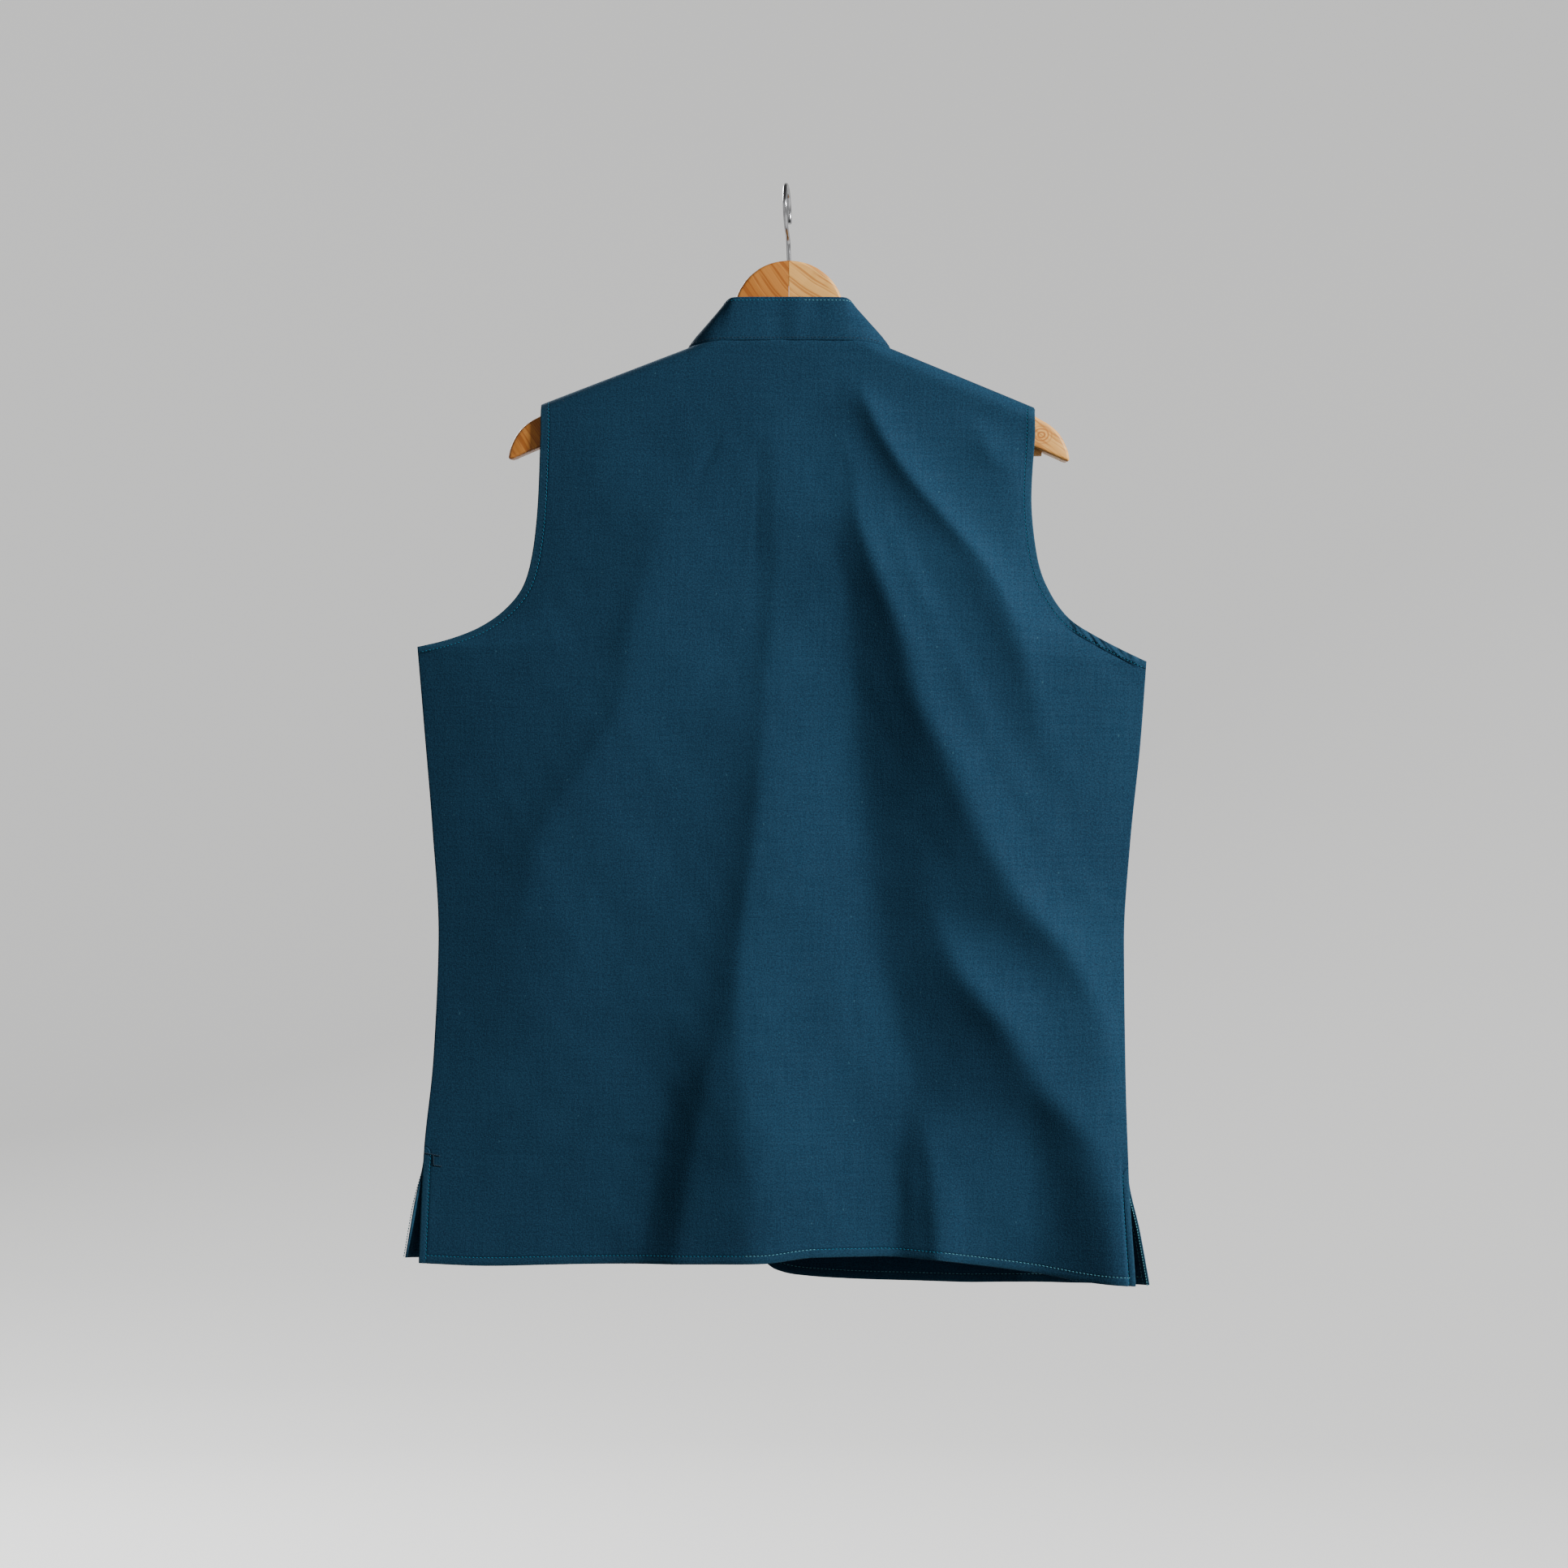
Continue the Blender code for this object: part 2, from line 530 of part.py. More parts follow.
def back_points(u, q):
    """The back's outer face at places u across and levels q."""
    body = np.minimum(q, YOKE)
    left_x, right_x = side_edge("left_x", body), side_edge("right_x", body)
    x = (left_x + right_x) / 2 + u * (right_x - left_x) / 2
    inward = (1 - u**2) ** ROW_ROUND

    def edge_height(level):
        return np.where(u < 0, side_edge("left_z", level), side_edge("right_z", level))

    def middle_height(level):
        return side_edge("centre_z", level)

    left_top, right_top = side_edge("left_x", YOKE), side_edge("right_x", YOKE)
    top_x = (left_top + right_top) / 2 + u * (right_top - left_top) / 2
    edge_y, edge_z = back_edge(top_x)
    left_hem, right_hem = side_edge("left_x", HEM), side_edge("right_x", HEM)
    hem_x = (left_hem + right_hem) / 2 + u * (right_hem - left_hem) / 2
    hem_z = through(column(BACK_HEM, "x"), column(BACK_HEM, "z"), hem_x)
    z = row_heights(body, inward, edge_height, middle_height, hem_z, edge_z - YOKE_DROP)

    edge_depth, middle_depth = depth_at("back_edge", body), depth_at("back_middle", body)
    y = edge_depth + (middle_depth - edge_depth) * (1 - np.abs(u) ** BACK_ROUND)
    wall_y = sweep(top_x) - ARCH_HALF
    y = y + (wall_y - y) * ease(BACK_WALL_FROM, YOKE, body)
    fold_hold = (1 - np.abs(u) ** EDGE_HOLD_BACK) * (1 - ease(FOLD_END_FROM, YOKE, body))
    y = y - fold_depth(BACK_FOLDS, x, z) * fold_hold - swing(x, z)
    over_y, over_z = arch(wall_y, edge_y - SEAM_GAP / 2, edge_z, sweep(top_x), np.clip(q - YOKE, 0, 1))
    in_arch = q > YOKE
    return np.stack([x, np.where(in_arch, over_y, y), np.where(in_arch, over_z, z)], axis=-1)


def swing(x, z):
    """How far the lower right side stands out behind, back and front together."""
    keys = -column(RIGHT_SWING, "z")
    return through(keys, column(RIGHT_SWING, "depth"), -z) * ease(SWING_FROM, SWING_TO, x)


def front_steps():
    """Places along a front's top edge: the shoulder from 0 to 1, then the neck's steps past 1, then the lap."""
    shoulder = np.linspace(0, 1, SHOULDER_COLUMNS + 1)
    neck = 1 + (np.array(NECK_STEPS_FRONT[1:]) - NECK_POINT_STEP) / (NECK_END_STEP - NECK_POINT_STEP)
    return np.concatenate([shoulder, neck, [CENTRE_PLACE, 3.0]])


def front_edge(side, place):
    """A front's top edge at places along it, for the side at -1 or +1."""
    step = NECK_POINT_STEP + np.clip(place - 1, 0, 1) * (NECK_END_STEP - NECK_POINT_STEP)
    lap = np.clip(place - 2, 0, 1)
    on_shoulder = place < 1
    half = np.where(on_shoulder, TIP_HALF + place * (NECK_HALF - TIP_HALF), neck_at("seam_x", step))
    half = half + lap * (-LAP_HALF - neck_at("seam_x", NECK_END_STEP))
    x = CENTRE_X + side * half
    y = np.where(on_shoulder, sweep(x) + SEAM_AHEAD, neck_at("seam_y", step))
    z = np.where(on_shoulder, shoulder_z(x), neck_at("seam_z", step))
    z = z + lap * (LAP_END_Z - neck_at("seam_z", NECK_END_STEP))
    return x, y, z


def lap_lift(side, x):
    """How far a front stands out near the centre: the left one laps over the right one."""
    return -side * LAP_LIFT * (1 - ease(LAP_FLAT, LAP_GONE, np.abs(x - CENTRE_X)))


def front_points(side, place, q):
    """A front's outer face, for the side at -1 or +1, at places across and levels q."""
    body = np.minimum(q, YOKE)
    name = "left" if side < 0 else "right"
    keys = column(FRONT_EDGE, "q")

    def edge(axis, level):
        added = through(keys, column(FRONT_EDGE, f"{name}_d{axis}"), level)
        return side_edge(f"{name}_{axis}", level) + added

    centre_x = CENTRE_X - side * LAP_HALF
    top_x, edge_y, edge_z = front_edge(side, place)
    yoke_x = top_x + side * through(column(YOKE_OUT, "place"), column(YOKE_OUT, "out"), place)
    low_share = np.interp(place, column(FRONT_COLUMNS, "place"), column(FRONT_COLUMNS, "share"))
    yoke_share = (yoke_x - edge("x", YOKE)) / (centre_x - edge("x", YOKE))
    share = low_share + (yoke_share - low_share) * ease(LEAN_FROM, YOKE, body)
    x = edge("x", body) + (centre_x - edge("x", body)) * share
    x = x + (top_x - yoke_x) * np.clip(q - YOKE, 0, 1)

    def edge_height(level):
        return edge("z", level)

    def middle_height(level):
        return depth_at("front_z", level)

    inward = (1 - (1 - low_share) ** 2) ** ROW_ROUND
    hem_table = LEFT_HEM if side < 0 else RIGHT_HEM
    hem_x = edge("x", HEM) + (centre_x - edge("x", HEM)) * low_share
    hem_z = through(column(hem_table, "x"), column(hem_table, "z"), hem_x)
    z = row_heights(body, inward, edge_height, middle_height, hem_z, edge_z - YOKE_DROP)

    reach = np.clip((x - CENTRE_X) / (edge("x", body) - CENTRE_X), 0, 1)
    edge_depth, middle_depth = depth_at("front_edge", body), depth_at("front_middle", body)
    y = edge_depth + (middle_depth - edge_depth) * (1 - reach**FRONT_ROUND)
    y = y - fold_depth(FRONT_FOLDS, x, z) * (1 - reach**EDGE_HOLD_FRONT)
    wall_y = np.maximum(sweep(top_x) + ARCH_HALF, edge_y + SEAM_GAP)
    y = y + (wall_y - y) * ease(FRONT_WALL_FROM, YOKE, body)
    over_y, over_z = arch(wall_y, edge_y + SEAM_GAP / 2, edge_z, sweep(top_x), np.clip(q - YOKE, 0, 1))
    in_arch = q > YOKE
    y = np.where(in_arch, over_y, y - swing(x, z)) + lap_lift(side, x)
    return np.stack([x, y, np.where(in_arch, over_z, z)], axis=-1)


def collar_points():
    """The collar's outer face, from the left end round the back to the right end, from the seam up."""
    front_places = front_steps()[SHOULDER_COLUMNS + 1 : -2]
    front_neck_steps = np.array(NECK_STEPS_FRONT[1:])
    halves = back_columns()[SHOULDER_COLUMNS : SHOULDER_COLUMNS + NECK_COLUMNS_BACK + 1]
    left_top, right_top = side_edge("left_x", YOKE), side_edge("right_x", YOKE)
    back_x = (left_top + right_top) / 2 + halves * (right_top - left_top) / 2
    back_y, back_z = back_edge(back_x)
    back_steps = back_neck_step(np.abs(back_x - CENTRE_X))
    seams, steps, sides = [], [], []
    for side in (-1, 1):
        x, y, z = front_edge(side, front_places)
        seam = np.stack([x, y + lap_lift(side, x), z], axis=-1)
        order = slice(None, None, -1) if side < 0 else slice(None)
        seams.append(seam[order])
        steps.append(front_neck_steps[order])
        sides.append(np.full(len(front_places), side))
    seam = np.concatenate([seams[0], np.stack([back_x, back_y, back_z], axis=-1), seams[1]])
    step = np.concatenate([steps[0], back_steps, steps[1]])
    side = np.concatenate([sides[0], np.sign(back_x - CENTRE_X), sides[1]])
    top_x = CENTRE_X + side * neck_at("top_x", step)
    top = np.stack([top_x, neck_at("top_y", step), neck_at("top_z", step)], axis=-1)
    up = top - seam
    seam = seam + COLLAR_GAP * up / np.linalg.norm(up, axis=-1, keepdims=True)
    bulge = np.stack([side * neck_at("bulge", step), 0 * step, 0 * step], axis=-1)
    rows = []
    for height in np.linspace(0, 1, COLLAR_ROWS):
        rows.append(seam + (top - seam) * height + bulge * 4 * height * (1 - height))
    return np.array(rows)


def make_object(name, mesh, finish):
    """An object of the scene with its own plain material."""
    obj = bpy.data.objects.new(name, mesh)
    bpy.context.collection.objects.link(obj)
    colour, roughness, metallic = finish
    material = bpy.data.materials.new(f"{name}_finish")
    material.use_nodes = True
    shader = material.node_tree.nodes["Principled BSDF"]
    shader.inputs["Base Color"].default_value = (*colour, 1)
    shader.inputs["Roughness"].default_value = roughness
    shader.inputs["Metallic"].default_value = metallic
    mesh.materials.append(material)
    return obj


def mesh_of(name, points, faces):
    """A closed mesh in metres, with its faces turned out."""
    mesh = bpy.data.meshes.new(name)
    mesh.from_pydata([tuple(MM * value for value in point) for point in points], [], faces)
    work = bmesh.new()
    work.from_mesh(mesh)
    bmesh.ops.recalc_face_normals(work, faces=work.faces)
    work.to_mesh(mesh)
    work.free()
    mesh.shade_smooth()
    mesh.set_sharp_from_angle(angle=math.radians(40))
    return mesh


def wall_mesh(name, outer, wall, outward):
    """A cloth wall of even thickness behind a grid of outer points, closed along its rim."""
    across = np.gradient(outer, axis=1, edge_order=2)
    along = np.gradient(outer, axis=0, edge_order=2)
    normal = np.cross(across, along)
    normal = normal / np.linalg.norm(normal, axis=-1, keepdims=True)
    inner = outer - outward * wall * normal
    rows, columns = outer.shape[:2]
    points = np.concatenate([outer.reshape(-1, 3), inner.reshape(-1, 3)])
    behind = rows * columns

    def at(row, col):
        return row * columns + col

    faces = []
    for row in range(rows - 1):
        for col in range(columns - 1):
            a, b, c, d = at(row, col), at(row, col + 1), at(row + 1, col + 1), at(row + 1, col)
            first_way = np.linalg.norm(points[a] - points[c])
            other_way = np.linalg.norm(points[b] - points[d])
            halves = ((a, b, c), (a, c, d)) if first_way < other_way else ((a, b, d), (b, c, d))
            for triangle in halves:
                faces.append(triangle)
                faces.append(tuple(behind + index for index in reversed(triangle)))
    rim = [at(0, col) for col in range(columns)]
    rim += [at(row, columns - 1) for row in range(1, rows)]
    rim += [at(rows - 1, col) for col in range(columns - 2, -1, -1)]
    rim += [at(row, 0) for row in range(rows - 2, 0, -1)]
    for first, second in zip(rim, rim[1:] + rim[:1]):
        faces.append((second, first, behind + first, behind + second))
    return mesh_of(name, points, faces)


CLOTH = ((0.01, 0.058, 0.10), 0.85, 0.0)
COLLAR_CLOTH = ((0.01, 0.053, 0.093), 0.85, 0.0)
BUTTON_RESIN = ((0.01, 0.05, 0.07), 0.35, 0.0)
DARK_WOOD = ((0.62, 0.36, 0.17), 0.45, 0.0)
PALE_WOOD = ((0.76, 0.52, 0.30), 0.45, 0.0)
CHROME = ((0.8, 0.8, 0.82), 0.12, 1.0)


def make_body():
    """The back and the two fronts."""
    row_levels = levels()
    u, q = np.meshgrid(back_columns(), row_levels)
    make_object("back", wall_mesh("back", back_points(u, q), BODY_WALL, 1), CLOTH)
    place, q = np.meshgrid(front_steps(), row_levels)
    for name, side in (("front_left", -1), ("front_right", 1)):
        outer = front_points(side, place, q)
        make_object(name, wall_mesh(name, outer, BODY_WALL, side), CLOTH)


def make_collar():
    """The stand collar, one band that starts just above the neck edge."""
    make_object("collar", wall_mesh("collar", collar_points(), COLLAR_WALL, 1), COLLAR_CLOTH)


def arm_section(side, row):
    """One section of an arm, a squarish oval."""
    lift = -side * ARM_TILT * row.reach
    middle = (row.top + row.bottom) / 2 + lift
    height = (row.top - row.bottom) / 2
    x = CENTRE_X + side * max(row.reach, JOINT_HALF_GAP)
    forward = sweep(x)
    ring = []
    for index in range(ARM_SIDES):
        angle = 2 * math.pi * (index + 0.5) / ARM_SIDES
        c, s = math.cos(angle), math.sin(angle)
        y = math.copysign(abs(c) ** (2 / ARM_SQUARENESS), c)
        z = math.copysign(abs(s) ** (2 / ARM_SQUARENESS), s)
        ring.append((x, forward + row.half * y, middle + height * z))
    return ring


def cylinder_cutter(name, radius, start, end, sides):
    """A cutter along the line between two points in millimetres."""
    start, end = Vector(start) * MM, Vector(end) * MM
    work = bmesh.new()
    bmesh.ops.create_cone(
        work,
        cap_ends=True,
        segments=sides,
        radius1=radius * MM,
        radius2=radius * MM,
        depth=(end - start).length,
    )
    mesh = bpy.data.meshes.new(name)
    work.to_mesh(mesh)
    work.free()
    cutter = bpy.data.objects.new(name, mesh)
    bpy.context.collection.objects.link(cutter)
    turn = (end - start).to_track_quat("Z", "Y").to_matrix().to_4x4()
    cutter.matrix_world = Matrix.Translation((start + end) / 2) @ turn
    cutter.hide_render = True
    cutter.display_type = "WIRE"
    return cutter


def make_hanger():
    """The two arms, with the bore for the hook and the grooves for the bar, and the bar itself."""
    bar_y = float(sweep(CENTRE_X + TIP_HALF))
    bore = cylinder_cutter(
        "hook_bore",
        WIRE_RADIUS + FIT_GAP,
        (CENTRE_X, 0, SHANK_END_Z - FIT_GAP),
        (CENTRE_X, 0, BORE_TOP_Z),
        BORE_SIDES,
    )
    groove = cylinder_cutter(
        "bar_groove",
        BAR_RADIUS + FIT_GAP,
        (BAR_LEFT_X - FIT_GAP, bar_y, BAR_Z),
        (BAR_RIGHT_X + FIT_GAP, bar_y, BAR_Z),
        BAR_SIDES,
    )
    for name, side, finish in (("hanger_arm_left", -1, DARK_WOOD), ("hanger_arm_right", 1, PALE_WOOD)):
        points = []
        for row in ARM:
            points.extend(arm_section(side, row))
        faces = []
        for section in range(len(ARM) - 1):
            for index in range(ARM_SIDES):
                following = (index + 1) % ARM_SIDES
                a, b = section * ARM_SIDES + index, section * ARM_SIDES + following
                faces.append((a, b, b + ARM_SIDES, a + ARM_SIDES))
        faces.append(tuple(range(ARM_SIDES)))
        faces.append(tuple(range(len(points) - ARM_SIDES, len(points))))
        arm = make_object(name, mesh_of(name, points, faces), finish)
        for cutter in (bore, groove):
            cut = arm.modifiers.new(cutter.name, "BOOLEAN")
            cut.operation = "DIFFERENCE"
            cut.object = cutter
    work = bmesh.new()
    bmesh.ops.create_cone(
        work,
        cap_ends=True,
        segments=BAR_SIDES,
        radius1=BAR_RADIUS * MM,
        radius2=BAR_RADIUS * MM,
        depth=(BAR_RIGHT_X - BAR_LEFT_X) * MM,
    )
    mesh = bpy.data.meshes.new("trouser_bar")
    work.to_mesh(mesh)
    work.free()
    mesh.shade_smooth()
    mesh.set_sharp_from_angle(angle=math.radians(40))
    bar = make_object("trouser_bar", mesh, PALE_WOOD)
    bar.location = Vector(((BAR_LEFT_X + BAR_RIGHT_X) / 2, bar_y, BAR_Z)) * MM
    bar.rotation_euler = (0, math.radians(90), 0)


def hook_route():
    """The wire's middle line: from its open end over the top, down the back and into the wood."""
    top_z = WIRE_RADIUS
    centre_z = top_z - HOOK_RADIUS
    flat = []
    for degrees in range(HOOK_FROM, HOOK_TO + 1, HOOK_STEP):
        angle = math.radians(degrees)
        flat.append((HOOK_RADIUS * math.cos(angle), centre_z + HOOK_RADIUS * math.sin(angle)))
    start = Vector(flat[-1])
    last = math.radians(HOOK_TO)
    away = Vector((-math.sin(last), math.cos(last)))
    end = Vector((0, HOOK_STRAIGHT_Z))
    first_handle = start + away * HOOK_HANDLE
    second_handle = end + Vector((0, HOOK_HANDLE))
    for index in range(1, HOOK_BEND_PARTS + 1):
        t = index / HOOK_BEND_PARTS
        point = start * (1 - t) ** 3 + first_handle * 3 * t * (1 - t) ** 2
        point = point + second_handle * 3 * t**2 * (1 - t) + end * t**3
        flat.append(tuple(point))
    flat.append((0, WOOD_TOP_Z))
    flat.append((0, SHANK_END_Z))
    route = []
    for out, z in flat:
        lean = CENTRE_X * min(1, max(0, z / WOOD_TOP_Z))
        route.append((lean + out * math.cos(HOOK_TURN), out * math.sin(HOOK_TURN), z))
    return route


def make_hook():
    """The wire hook, a round wire along its middle line."""
    curve = bpy.data.curves.new("hook", "CURVE")
    curve.dimensions = "3D"
    curve.bevel_depth = WIRE_RADIUS * MM
    curve.bevel_resolution = 2
    curve.use_fill_caps = True
    spline = curve.splines.new("POLY")
    route = hook_route()
    spline.points.add(len(route) - 1)
    for point, place in zip(spline.points, route):
        point.co = (*(MM * value for value in place), 1)
    make_object("hook", curve, CHROME)


def lathe(name, profile, sides):
    """A solid turned round its own Z axis from a profile of radius and height."""
    points = []
    for radius, height in profile:
        for index in range(sides):
            angle = 2 * math.pi * index / sides
            points.append((radius * math.cos(angle), radius * math.sin(angle), height))
    faces = [tuple(range(sides)), tuple(range(len(points) - sides, len(points)))]
    for ring in range(len(profile) - 1):
        for index in range(sides):
            following = (index + 1) % sides
            a, b = ring * sides + index, ring * sides + following
            faces.append((a, b, b + sides, a + sides))
    return mesh_of(name, points, faces)


def make_buttons():
    """Round buttons with a raised rim, each flat against the left front."""
    bevel = BUTTON_RIM / 2
    inside = BUTTON_RADIUS - BUTTON_RIM
    profile = (
        (BUTTON_RADIUS - bevel, 0.0),
        (BUTTON_RADIUS, bevel),
        (BUTTON_RADIUS, BUTTON_DEPTH - bevel),
        (BUTTON_RADIUS - bevel, BUTTON_DEPTH),
        (inside, BUTTON_DEPTH),
        (inside - bevel, BUTTON_DEPTH - bevel),
        (bevel, BUTTON_DEPTH - bevel),
    )
    fine_levels = np.linspace(HEM, YOKE, 400)
    centre_line = front_points(-1, np.full_like(fine_levels, CENTRE_PLACE), fine_levels)
    for number, height in enumerate(BUTTON_HEIGHTS, start=1):
        y = float(np.interp(height, centre_line[:, 2], centre_line[:, 1]))
        above = float(np.interp(height + BUTTON_RADIUS, centre_line[:, 2], centre_line[:, 1]))
        below = float(np.interp(height - BUTTON_RADIUS, centre_line[:, 2], centre_line[:, 1]))
        lean = math.atan2(above - below, 2 * BUTTON_RADIUS)
        name = f"button_{number}"
        button = make_object(name, lathe(name, profile, BUTTON_SIDES), BUTTON_RESIN)
        button.rotation_euler = (math.radians(-90) - lean, 0, 0)
        button.location = Vector((CENTRE_X, y + BUTTON_STAND_OFF, height)) * MM


def main():
    for obj in list(bpy.data.objects):
        bpy.data.objects.remove(obj, do_unlink=True)
    make_body()
    make_collar()
    make_hanger()
    make_hook()
    make_buttons()


main()
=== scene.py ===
"""Dresses a nehru jacket and its wooden hanger, and sets up a plain studio round them.

The frame has +Z up and its origin at the inside top of the hook. The jacket's back faces -Y
and the wearer's left side is at -X. Lengths in the tables are millimetres, and each mesh is made in
metres.
"""

import logging
import math
from dataclasses import dataclass, field
from enum import Enum
from typing import Callable, NamedTuple, Sequence

import bmesh
import bpy
import numpy as np
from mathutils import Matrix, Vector
from mathutils.bvhtree import BVHTree
from mathutils.kdtree import KDTree


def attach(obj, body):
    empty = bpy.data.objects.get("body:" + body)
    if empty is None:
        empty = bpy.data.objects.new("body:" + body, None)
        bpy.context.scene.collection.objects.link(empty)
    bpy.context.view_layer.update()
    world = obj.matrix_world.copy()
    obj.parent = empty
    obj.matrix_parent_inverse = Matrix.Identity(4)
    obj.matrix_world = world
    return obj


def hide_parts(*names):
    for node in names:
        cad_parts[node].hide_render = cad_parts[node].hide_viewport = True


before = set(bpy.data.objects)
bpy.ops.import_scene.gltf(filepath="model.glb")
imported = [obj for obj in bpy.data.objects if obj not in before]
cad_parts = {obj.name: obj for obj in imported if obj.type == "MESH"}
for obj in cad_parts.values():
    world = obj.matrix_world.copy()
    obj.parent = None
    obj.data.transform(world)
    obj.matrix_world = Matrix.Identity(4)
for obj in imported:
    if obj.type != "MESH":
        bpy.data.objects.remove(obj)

LOG = logging.getLogger("nehru_jacket")
Array = np.ndarray
Colour = tuple[float, float, float]
MM = 0.001

# Cloth and sewing sizes
BODY_WALL = 1.6
COLLAR_WALL = 2.4
SEAM_GAP = 0.3
COLLAR_GAP = 0.5
CENTRE_X = 2.0
LAP_HALF = 20.0
LAP_LIFT = 1.2
NECK_HALF = 80.0
SHOULDER_Z = -127.0
TIP_HALF = 194.5
LEFT_TIP_Z = -170.2
RIGHT_TIP_Z = -173.4

# Hanger sizes
ARM_SWEEP = 14.0
ARM_REACH = 220.0
ARCH_HALF = 13.0
ARCH_RISE = 11.0
YOKE_DROP = 22.0
SEAM_AHEAD = 2.2

# Level 0 is the hem, 1 the vents' top, 6 the underarm, 10 the yoke row and 11 the top edge.
HEM, VENT_TOP, UNDERARM, YOKE, TOP = 0.0, 1.0, 6.0, 10.0, 11.0


class Level(NamedTuple):
    """Where both side edges and the middle of the back lie at one level."""

    q: float
    left_x: float
    left_z: float
    right_x: float
    right_z: float
    centre_z: float


SIDE_LEVELS = (
    Level(0.0, -289.3, -847.4, 273.3, -863.4, -843.0),
    Level(1.0, -285.4, -761.0, 268.2, -777.0, -764.0),
    Level(2.0, -277.8, -684.2, 266.2, -692.0, -684.0),
    Level(3.0, -273.9, -588.2, 265.6, -598.0, -588.0),
    Level(4.0, -278.5, -508.0, 270.5, -518.0, -495.0),
    Level(5.0, -285.0, -428.2, 278.5, -440.0, -420.0),
    Level(6.0, -290.6, -362.2, 283.5, -373.8, -353.0),
)
ARMHOLE_LEVELS = (
    Level(6.0, -290.6, -362.2, 283.5, -373.8, -353.0),
    Level(6.8, -271.4, -357.8, 264.0, -364.5, -324.0),
    Level(7.5, -245.8, -348.8, 243.0, -353.5, -298.0),
    Level(8.1, -222.1, -333.4, 223.0, -340.5, -273.0),
    Level(8.7, -206.5, -313.0, 207.0, -319.0, -246.0),
    Level(9.2, -199.7, -287.4, 197.8, -293.8, -217.0),
    Level(9.6, -195.6, -249.0, 192.8, -246.0, -182.0),
    Level(10.0, -193.4, -192.2, 195.6, -195.4, -143.4),
)


class FrontEdge(NamedTuple):
    """What a front's side edge adds to the back's at one level."""

    q: float
    left_dx: float
    left_dz: float
    right_dx: float
    right_dz: float


FRONT_EDGE = (
    FrontEdge(0.0, -11.5, 4.0, 11.5, 0.5),
    FrontEdge(0.5, -6.0, 1.5, 6.5, 0.0),
    FrontEdge(1.0, 0.0, 0.0, 0.0, 0.0),
    FrontEdge(6.0, 0.0, 0.0, 0.0, 0.0),
    FrontEdge(7.5, 10.0, 0.0, -10.0, 0.0),
    FrontEdge(8.7, 13.0, 0.0, -13.0, 0.0),
    FrontEdge(9.6, 6.0, 0.0, -6.0, 0.0),
    FrontEdge(10.0, 0.0, 0.0, 0.0, 0.0),
)


class Depth(NamedTuple):
    """How far back or forward the cloth lies at one level, and the front's own height there."""

    q: float
    back_edge: float
    back_middle: float
    front_edge: float
    front_middle: float
    front_z: float


DEPTHS = (
    Depth(0.0, -3.5, -15.0, 9.0, 31.0, -848.0),
    Depth(1.0, -1.75, -16.0, 1.75, 33.0, -768.0),
    Depth(2.0, -1.75, -17.0, 1.75, 34.0, -690.0),
    Depth(3.0, -1.75, -18.5, 1.75, 34.0, -605.0),
    Depth(4.0, -1.75, -19.5, 1.75, 33.0, -525.0),
    Depth(5.0, -1.75, -20.0, 1.75, 32.0, -450.0),
    Depth(6.0, -1.75, -19.5, 1.75, 31.0, -380.0),
    Depth(7.5, -3.0, -19.0, 9.0, 30.0, -320.0),
    Depth(8.7, -4.5, -17.5, 15.0, 29.5, -275.0),
    Depth(9.6, -4.0, -15.5, 21.0, 29.5, -243.0),
    Depth(10.0, -2.1, -13.0, 23.9, 29.5, -230.5),
)
BACK_ROUND, FRONT_ROUND, ROW_ROUND = 3.4, 2.4, 1.6
EDGE_HOLD_BACK, EDGE_HOLD_FRONT = 14, 6
FOLD_FALL, FOLD_SOFT = 1.2, 0.25
HEM_FADE = 1.5
LEAN_FROM = 5.0
BACK_WALL_FROM, FRONT_WALL_FROM = 8.2, 9.0
FOLD_END_FROM = 9.7
LAP_FLAT, LAP_GONE = 26.0, 70.0
LAP_END_Z = -209.6


class Spot(NamedTuple):
    """A point of a line across the jacket."""

    x: float
    z: float


BACK_HEM = (
    Spot(-289.3, -847.4),
    Spot(-236.2, -849.2),
    Spot(-178.6, -847.8),
    Spot(-57.0, -845.9),
    Spot(-19.2, -845.3),
    Spot(23.0, -841.0),
    Spot(71.0, -840.8),
    Spot(114.6, -843.2),
    Spot(148.5, -847.4),
    Spot(194.6, -853.7),
    Spot(240.0, -860.8),
    Spot(273.3, -863.4),
)
LEFT_HEM = (Spot(-300.8, -843.4), Spot(-200.0, -846.0), Spot(-60.0, -847.0), Spot(22.0, -845.0))
RIGHT_HEM = (
    Spot(-18.0, -848.5),
    Spot(-9.0, -855.0),
    Spot(6.0, -859.0),
    Spot(34.6, -861.5),
    Spot(80.0, -863.2),
    Spot(171.5, -864.0),
    Spot(240.0, -863.2),
    Spot(284.8, -862.9),
)


class Neck(NamedTuple):
    """One step round half of the neck: the seam, the collar's top edge and its bulge between them."""

    step: float
    seam_x: float
    seam_y: float
    seam_z: float
    top_x: float
    top_y: float
    top_z: float
    bulge: float


